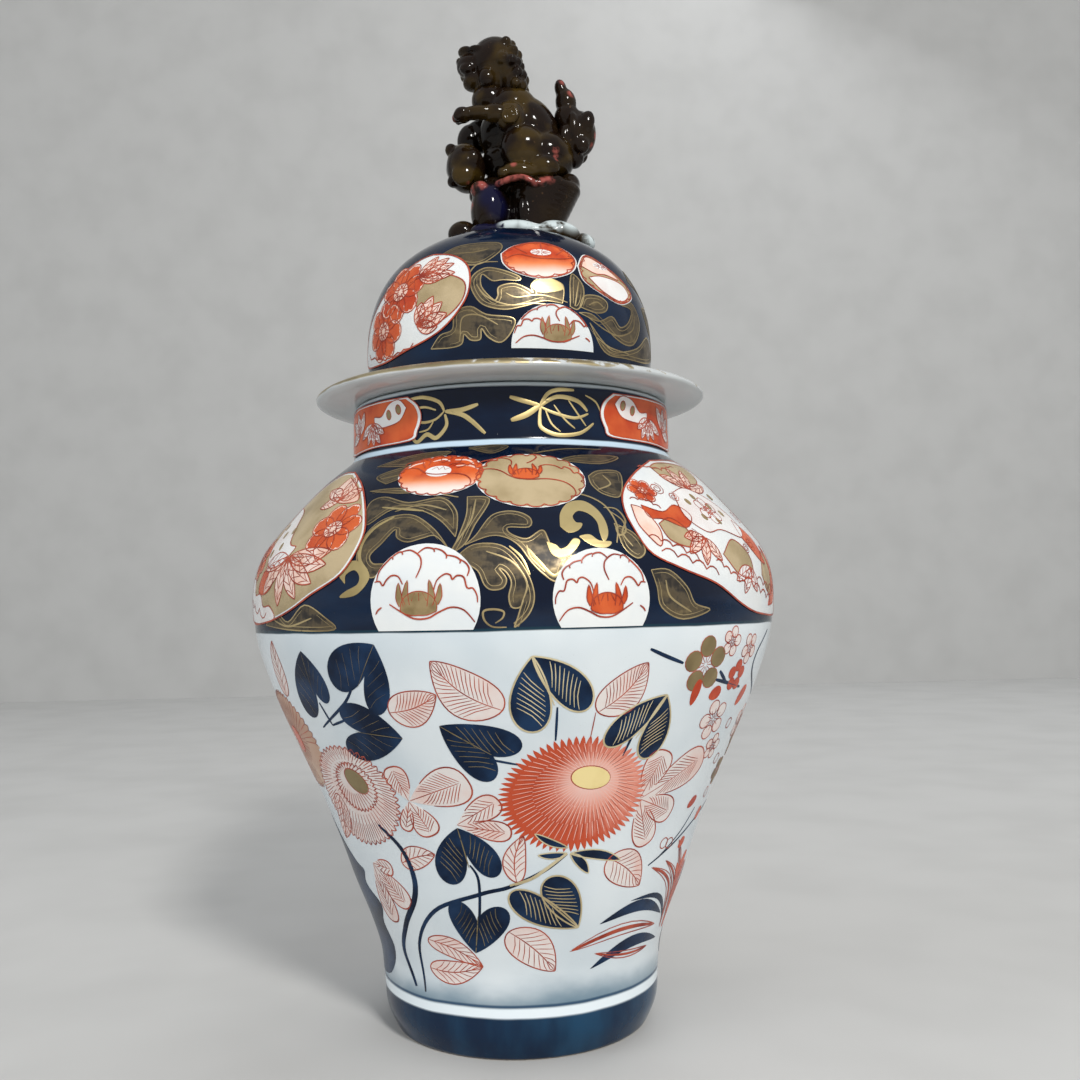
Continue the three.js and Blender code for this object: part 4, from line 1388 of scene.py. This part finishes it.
DOME_SCROLLS = [
    [(20, 241.5), (13, 242), (5.5, 240), (-2, 239), (-9.5, 241), (-13.5, 246), (-14, 250.5),
     (-10, 253.5), (-5, 253.5), (3.5, 250.7), (4, 249), (-2, 249.2), (-6, 249), (-10, 251.5),
     (-10, 247), (-5.5, 242.3), (-4, 243.5), (-3.5, 246.7), (2, 247.8), (7, 246), (9, 244.7),
     (8.5, 247.5), (13, 250.3), (20, 248.7), (21, 246)],
    [(-30, 228), (-26, 232), (-21, 233.5), (-20, 239), (-14, 240.5), (-8, 237.5), (1.5, 236),
     (1, 232), (-3, 228.3), (-7.5, 230), (-10, 233), (-10.5, 229.6), (-14, 229.5), (-16.5, 231.5),
     (-17.5, 228.5), (-22, 227.6)],
    [(23, 240.7), (24, 249), (26, 252.5), (29.5, 248.5), (28.5, 243), (26, 240)],
    [(26.5, 239), (32, 239), (37.5, 236), (43, 232.7), (50, 231), (56.5, 232.7), (61.5, 239.5),
     (59, 245.5), (54, 247), (48, 244.7), (55, 244), (52, 239), (46.5, 236.5), (42, 239.5), (35, 237)],
    [(27, 241), (29.5, 245), (36, 245.7), (40, 244), (39, 241), (34, 239.7)],
    [(31, 236), (37, 230.5), (44, 227.8), (58, 231), (70, 237), (78, 231), (67, 227.5), (50, 226.4),
     (38, 227)],
    [(-31, 261), (-24, 264), (-15, 264.5), (-4, 264), (-3, 260.5), (-9.5, 256), (-16, 255.5),
     (-24, 258.5)],
    [(62, 256), (70, 262), (84, 258), (94, 250), (86, 240), (74, 240), (68, 247), (78, 250)],
    [(-88, 232), (-84, 244), (-92, 254), (-100, 244), (-98, 232)],
]
for places in DOME_SCROLLS:
    scroll(dome, places)
scroll(dome, [(8.5, 247.5), (13.5, 250), (19, 249), (20.5, 246.5), (14, 245), (10, 245.5)],
       "bright", "bright", 0.4)
DOME_TENDRILS = [
    [(19, 240.4), (9, 241), (0, 240.4), (-8, 243.5), (-12, 248)], [(25, 241), (26.5, 246), (28, 250)],
    [(-18, 231), (-17, 237), (-11, 237.5), (-4, 234)], [(-24, 261), (-15, 260.5), (-8, 261.5)],
    [(30, 238), (38, 234.5), (46, 233.5), (55, 237), (57, 242)], [(31, 242), (35, 243.5), (38, 242)],
    [(-15, 244.5), (-16, 250), (-12, 255.5), (-4, 256)],
    [(22, 242), (12, 244), (3, 243), (-1, 244.5)], [(34, 231.5), (41, 228.8), (52, 228.2)],
]
for places in DOME_TENDRILS:
    strand(dome, places)
for enamel in dome.values():
    enamel.finish()


# ------------------------------------------------------------------ the lion finial
# The finial is modelled by hand in soft lumps of clay, stuck together and fired under a
# treacle-brown glaze: a guardian lion that sits up on a rock, with one forepaw over a ball.

def modelled(name, node, slot, glaze, lumps, grain=0.55, smoothing=4):
    """Joins soft lumps of clay into one glazed piece of the finial. A lump is its centre, its
    three half sizes and its lean about the side-to-side axis, in millimetres and degrees."""
    bm = bmesh.new()
    for centre, sizes, *lean in lumps:
        place = Matrix.Translation(Vector(centre) * MM)
        tilt = Matrix.Rotation(math.radians(lean[0] if lean else 0), 4, "Y")
        size = Matrix.Diagonal((*[s * MM for s in sizes], 1))
        detail = 4 if max(sizes) > 5 else 3
        bmesh.ops.create_icosphere(bm, subdivisions=detail, radius=1, matrix=place @ tilt @ size)
    rough = made(name + "_clay", bm)
    remesh = rough.modifiers.new("skin", "REMESH")
    remesh.mode = "VOXEL"
    remesh.voxel_size = grain * MM
    remesh.use_smooth_shade = True
    thumb = rough.modifiers.new("thumb", "SMOOTH")
    thumb.factor = 0.5
    thumb.iterations = smoothing
    shaped = rough.evaluated_get(bpy.context.evaluated_depsgraph_get())
    mesh = bpy.data.meshes.new_from_object(shaped)
    mesh.materials.clear()
    bpy.data.objects.remove(rough)
    piece = bpy.data.objects.new(name, mesh)
    mesh.shade_smooth()
    bpy.context.scene.collection.objects.link(piece)
    finished(piece, "lid", node, slot, glaze)


def near(glaze, places, reach):
    """1 at any of a few places in millimetres, fading to 0 at the reach from it."""
    spot = glaze.place((1 / MM,) * 3)
    nearest = None
    for place in places:
        gap = glaze.node("ShaderNodeVectorMath", {"operation": "DISTANCE"}, {0: spot, 1: place},
                         "Value")
        nearest = gap.maths("MINIMUM", nearest, gap) if nearest else gap
    return 1 - nearest.rise(reach * 0.35, reach)


def brown_glaze(name, olive, red_edges=(), reach=5.0, blue=(), white=(), painted_shade=()):
    """Thick brown glaze that thins to olive, with painted shade that darkens it nearly to black
    at given places in the hollows, and iron red showing on worn high edges."""
    glaze = Glaze(name, roughness=0.09)
    pools = glaze.noise(85, detail=2.0).rise(0.40, 0.62)
    tint = glaze.mix(pools * olive * 1.6, (0.009, 0.0045, 0.0025), (0.040, 0.024, 0.005))
    specks = glaze.noise(800, detail=2.0).rise(0.68, 0.76)
    tint = glaze.mix(specks * 0.4, tint, (0.12, 0.065, 0.03))
    # Painted shade: near the given places the glaze is darkened nearly to black, where hollows lie in
    # shadow.
    if painted_shade:
        tint = glaze.mix(near(glaze, painted_shade, 9) * 0.95, tint, (0.003, 0.0018, 0.0012))
    if blue:
        tint = glaze.mix(near(glaze, blue, 7) * 0.8, tint, (0.004, 0.005, 0.030))
    if red_edges:
        worn = glaze.noise(340, detail=4.0).rise(0.36, 0.58)
        tint = glaze.mix(near(glaze, red_edges, reach) * worn * 0.8, tint, (0.36, 0.085, 0.07))
    if white:
        patch = near(glaze, white, 6.0) * glaze.noise(190, detail=3.0).rise(0.34, 0.46)
        tint = glaze.mix(patch, tint, (0.56, 0.63, 0.64))
    glaze.bump(glaze.noise(150, detail=1.0), 0.3, 0.5)
    return glaze.set(Base_Color=tint, Specular_IOR_Level=0.2)


base_glaze = brown_glaze(
    "base_glaze", 0.3, blue=((-8, -13, 280), (-4, -15, 279)),
    white=((1, -17, 281), (7, -17, 280.6), (11, -16, 280), (17, -14, 281.5), (22, -11, 281),
           (32, -6, 276), (18, 12, 281), (5, 17, 281)))
modelled("finial_glazed_base", "finial_base", "rock_glaze", base_glaze, [
    ((5, 0, 277.6), (23, 17.5, 5.0), 2), ((-16.4, -4, 280.0), (5.4, 5.2, 4.6), -12),
    ((28, -4, 276.2), (4.4, 4.3, 3.2), 20), ((18, -8.5, 278.2), (8.6, 6.0, 4.4), 8),
    ((-3, 12, 277.3), (8.8, 5.8, 4.8)), ((3.6, -12.4, 278), (9.6, 5.0, 3.8), 3),
    ((-8, -10, 278), (6, 4.6, 3.4)), ((24, 6, 276.6), (5, 6, 3.6)), ((15, 11, 277.4), (8, 5.4, 4)),
    ((-12, 6, 278.4), (5.4, 5, 3.8)),
])

rock_lumps = [
    ((-6, -4, 288), (7.3, 9.6, 11.6)), ((-4.5, 6, 289.8), (8.4, 8.6, 11.8)),
    ((11, 6, 291), (11, 8.8, 11.4)), ((-2, 5, 299), (9, 7.6, 6.4)),
    ((-9.4, -7.2, 295), (3.8, 5.4, 3.0)), ((-11, 3, 296.6), (3, 5, 3)),
    ((5.6, -12.2, 285.8), (1.5, 1.6, 5.2)), ((23, 0.5, 298.6), (4.6, 8, 4.2), -40),
]
# The seat is a bowl that widens evenly to its rim; a thin rolled edge runs along the front.
SEAT_STEPS = 8
for step in range(SEAT_STEPS + 1):
    share = step / SEAT_STEPS
    rock_lumps.append(((8.6 + 5.4 * share, -0.8, 281.5 + 14.5 * share),
                       (11.2 + 2.3 * share, 12.0 + 0.6 * share, 6.0 - 1.2 * share)))
SEAT_RIM = smooth_line([(-2.6, -12.4, 295.4), (1.8, -13.2, 296.8), (6.0, -13.6, 297.0),
                        (10.4, -13.2, 295.2), (14.6, -12.2, 296.0), (18.6, -10.6, 297.6)], 5)
rock_lumps += [(tuple(spot), (1.8, 1.6, 1.3)) for spot in SEAT_RIM]
rim_front = [tuple(spot + Vector((0, -1.6, 0.6))) for spot in SEAT_RIM[:22:3]]
# The crease at the front of the seat is darkened nearly to black as painted shade.
rock_glaze = brown_glaze(
    "rock_glaze", 0.10, (*rim_front, (-12.2, -9, 294.6), (-9, -12, 295.6), (-13, -7, 289)), 2.9,
    blue=((-6, -14, 291), (-2.6, -13.6, 287)), white=((6, -15, 276),),
    painted_shade=((3, -10, 289), (2, -9, 284)))
modelled("finial_glazed_rockwork", "finial_rockwork", "rock_glaze", rock_glaze, rock_lumps)


def whorl(middle, size, turns, thick):
    """A raised spiral curl on the flank."""
    steps = 16
    lumps = []
    for i in range(steps):
        share = i / (steps - 1)
        angle = math.tau * turns * share
        reach = size * (0.25 + 0.75 * share)
        spot = (middle[0] + reach * math.cos(angle), middle[1], middle[2] + reach * math.sin(angle))
        lumps.append((spot, (thick, thick * 1.1, thick)))
    return lumps


lion_lumps = [
    ((-5.6, 0, 331.4), (6.8, 7.6, 6.4), 20), ((2.6, 0, 327.4), (9.8, 10.4, 8.8), -10),
    ((9, 0, 320.4), (10.2, 10.6, 13.2), -30), ((14.6, 0, 309.6), (11.2, 11.6, 9.6), 6),
    ((-1.5, 1, 319), (8.4, 8.6, 9.6), 14), ((0, 2, 308.6), (9, 9, 7.6)),
]
for side in (-1, 1):
    lion_lumps += [
        ((6.4, 7.6 * side, 310.6), (8.2, 6.2, 8.4), 8),
        ((5.0, 10.6 * side, 300.6), (6.6, 3.8, 3.2), 6),
        ((-1, 9.2 * side, 299.6), (2.2, 1.9, 2.0)), ((-1.2, 12.0 * side, 299.6), (2.2, 1.9, 2.0)),
        ((1.8, 9.6 * side, 321.4), (5.4, 3.8, 5.6)), ((14, 9.4 * side, 302.8), (5.6, 3.4, 4.4)),
        *whorl((1.4, 13.7 * side, 320.2), 3.2, 1.15, 1.0),
    ]
# The chest and belly under the forelegs are darkened nearly to black as painted shade.
lion_glaze = brown_glaze(
    "lion_glaze", 0.75, ((2.6, -14.2, 302.4), (18.2, -11, 308.4), (18.6, -11, 305.6)), 1.9,
    painted_shade=((-6, -5, 316), (-5, -6, 309), (-4, -7, 303), (-9, 0, 320)))
modelled("lion_glazed_body", "lion_body", "lion_glaze", lion_glaze, lion_lumps)

curls = random.Random(7)
head_lumps = [
    ((-3.2, 0, 346), (9.5, 9.2, 9.5)), ((-12.2, 0, 344.8), (5.5, 5.6, 4.4), -6),
    ((-11.0, 0, 339), (4.6, 4.8, 3.4), -14), ((1.2, 0, 343.4), (5.8, 9.2, 9.4)),
    ((3.4, 0, 337), (5.2, 9.0, 6.8)), ((-5, 0, 338.6), (6.2, 7.4, 6.4)),
    ((-16.4, 0, 346.6), (1.6, 2.4, 1.5)), ((-13.6, 0, 350.0), (3.6, 4.6, 1.9), 6),
]
for side in (-1, 1):
    head_lumps += [
        ((-8.6, 4.4 * side, 348.8), (4.4, 3.0, 1.5), 14),
        ((-11.4, 4.8 * side, 345.6), (1.3, 1.2, 1.2)),
        ((-13.4, 3.4 * side, 342.4), (3.2, 2.6, 2.2)),
        ((-0.6, 8.9 * side, 344), (2.4, 1.4, 2.4), 30),
        ((-6.4, 6.6 * side, 337.6), (3.0, 2.4, 3.6)),
    ]
# The mane is five rows of curls, staggered: the height of a row, how far back its middle is,
# how far it reaches and how many curls it has.
MANE_ROWS = [(351.2, 0.4, 6.4, 4), (347.2, 1.7, 8.4, 5), (343.0, 2.1, 9.3, 6),
             (338.8, 3.2, 9.2, 6), (334.6, 3.6, 8.6, 5)]
for row, (height, back, reach, count) in enumerate(MANE_ROWS):
    for i in range(count):
        turn = math.radians(-80 + 160 * (i + 0.5 * (row % 2)) / (count - 0.5))
        size = curls.uniform(1.9, 2.3)
        spot = (back + reach * 0.44 * math.cos(turn), reach * math.sin(turn), height)
        head_lumps.append((spot, (size, size, size)))
head_glaze = brown_glaze("lion_head_glaze", 0.45, ((6.4, -4, 351.6), (8, -2, 347)), 1.9)
modelled("lion_glazed_head", "lion_head", "lion_glaze", head_glaze, head_lumps, 0.5, 5)

tail_glaze = brown_glaze(
    "lion_tail_glaze", 0.15, ((34.4, -2, 322), (34.4, -2, 317), (33, -3, 312.6),
                              (19.6, -3, 339.6), (22, -3.5, 338), (25, -4, 333)), 2.4)
modelled("lion_glazed_tail", "lion_tail", "lion_glaze", tail_glaze, [
    ((27.8, 0, 318.6), (6.0, 6.2, 8.6)), ((24, 0, 315), (6.0, 5.8, 7.6)),
    ((25.4, 0, 310), (3.8, 4.6, 4.4)), ((23.2, 0, 324.6), (5.0, 5.2, 5.4)),
    ((22.8, 0, 330.6), (3.9, 4.4, 5.4), -8),
    ((21, 0, 335.8), (2.3, 3.2, 3.9), -12), ((30, -4.4, 321), (3.0, 2.2, 4.8), 14),
    ((25.2, -5, 319), (2.0, 2.0, 6.2), -4), ((28, -4.8, 312.6), (3.0, 2.2, 3.4)),
    ((30, 4.4, 321), (3.0, 2.2, 4.8), 14), ((25.2, 5, 319), (2.0, 2.0, 6.2), -4),
    ((28, 4.8, 312.6), (3.0, 2.2, 3.4)), ((21.6, -4.4, 316), (2.0, 2.0, 4.6), 8),
])

ball_glaze = brown_glaze("lion_ball_glaze", 0.75, ((-13.4, -8, 296.8),), 2.0)
modelled("lion_glazed_ball", "lion_ball", "lion_glaze", ball_glaze, [
    ((-14.8, 0, 306.0), (7.3, 9.0, 9.0), -6), ((-20.2, -1.6, 312.4), (2.3, 3.0, 2.4)),
    ((-15.6, -6.4, 301.4), (4.4, 2.4, 4.6)), ((-12.4, -6.8, 307.6), (3, 2.0, 3.4)),
    ((-16.4, 5.6, 305), (4.4, 3, 5)), ((-19.6, -1.6, 300.4), (2.3, 3, 2.1)),
    ((-20.6, 1.5, 306.4), (1.8, 3.2, 3.4)),
])

near_glaze = brown_glaze("near_foreleg_glaze", 0.35, ((-19, -12, 322), (-19.4, -11, 319.6)), 2.0)
modelled("lion_glazed_near_foreleg", "lion_foreleg_near", "lion_glaze", near_glaze, [
    ((-3.4, -10.2, 322.4), (5.4, 3.3, 3.6), 4), ((-9.6, -10.8, 322.4), (7.4, 2.9, 2.6), -3),
    ((-15.4, -10.8, 321.6), (3.3, 3.8, 2.8)), ((-17.2, -12.8, 320.6), (1.5, 1.5, 1.8)),
    ((-17.8, -10.6, 320.6), (1.5, 1.5, 1.8)), ((-17, -8.4, 320.8), (1.5, 1.5, 1.8)),
], 0.45, 3)

# The far foreleg, in shadow behind the chest and ball, is darkened nearly to black as painted shade.
far_glaze = brown_glaze("far_foreleg_glaze", 0.2, painted_shade=((-11, 4, 319), (-6, 4, 320)))
modelled("lion_glazed_far_foreleg", "lion_foreleg_far", "lion_glaze", far_glaze, [
    ((-9.6, 6, 320.6), (6.2, 4.4, 6.6), 40), ((-13.6, 5.4, 318.6), (4.6, 4.4, 6.4), 4),
], 0.45, 3)


# ------------------------------------------------------------------ where it stands
# The jar stands on a plain pale table top in an even, softly lit room, with a broad soft
# light above and a little to the right of the camera.

bpy.ops.mesh.primitive_plane_add(size=8, location=(0, 1.5, 0))
table = bpy.context.object
table.name = "table_top"
cloth = Glaze("table_cloth", roughness=0.85)
weave = cloth.noise(14, detail=2.0).rise(0.3, 0.8)
cloth.set(Base_Color=cloth.mix(weave, (0.56, 0.56, 0.55), (0.52, 0.52, 0.51)))
table.data.materials.append(cloth.material)

bpy.ops.mesh.primitive_plane_add(size=8, location=(0, 1.6, 3), rotation=(math.pi / 2, 0, 0))
wall = bpy.context.object
wall.name = "room_wall"
wall.data.materials.append(cloth.material)


def soft_light(name, place, aim, size, watts, tint):
    """A soft rectangular light aimed at a point; only the key light shows in the glaze."""
    lamp = bpy.data.lights.new(name, "AREA")
    lamp.shape = "RECTANGLE"
    lamp.size, lamp.size_y = size
    lamp.energy = watts
    lamp.color = tint
    fitting = bpy.data.objects.new(name, lamp)
    fitting.location = place
    fitting.rotation_euler = (Vector(aim) - Vector(place)).to_track_quat("-Z", "Y").to_euler()
    fitting.visible_glossy = name == "key_light"
    bpy.context.scene.collection.objects.link(fitting)
    return fitting


lights = [
    soft_light("key_light", (0.55, -1.5, 1.25), (0, 0, 0.2), (0.28, 0.28), 26, (1.0, 0.98, 0.95)),
    soft_light("left_light", (-1.5, -0.7, 0.6), (0, 0, 0.15), (0.9, 1.2), 6, (0.9, 0.95, 1.0)),
    soft_light("back_light", (0.6, 1.2, 1.6), (0, 0, 0.25), (1.2, 0.8), 9, (0.95, 0.97, 1.0)),
]
world = bpy.data.worlds.new("even_room")
world.use_nodes = True
background = world.node_tree.nodes["Background"].inputs
background["Color"].default_value = (0.80, 0.81, 0.82, 1)
background["Strength"].default_value = 0.68
bpy.context.scene.world = world
bpy.context.scene.view_settings.view_transform = "Standard"

# The camera is close, a little below the belly, and looks slightly up at the lid.
CAMERA_PLACE = (0, -0.4106, 0.1421)
FOCAL_LENGTH = 37.67
yaw, pitch, roll = (math.radians(turn) for turn in (1.35, 3.53, -1.22))
ahead = Vector((math.sin(yaw) * math.cos(pitch), math.cos(yaw) * math.cos(pitch), math.sin(pitch)))
level = Vector((math.cos(yaw), -math.sin(yaw), 0))
above = level.cross(ahead)
right = math.cos(roll) * level + math.sin(roll) * above
upward = math.cos(roll) * above - math.sin(roll) * level
lens = bpy.data.cameras.new("camera")
lens.lens = FOCAL_LENGTH
lens.sensor_width = 36
lens.dof.use_dof = False
lens.clip_start = 0.01
camera = bpy.data.objects.new("camera", lens)
turned = Matrix((right, upward, -ahead)).transposed().to_4x4()
camera.matrix_world = Matrix.Translation(CAMERA_PLACE) @ turned
bpy.context.scene.collection.objects.link(camera)
bpy.context.scene.camera = camera
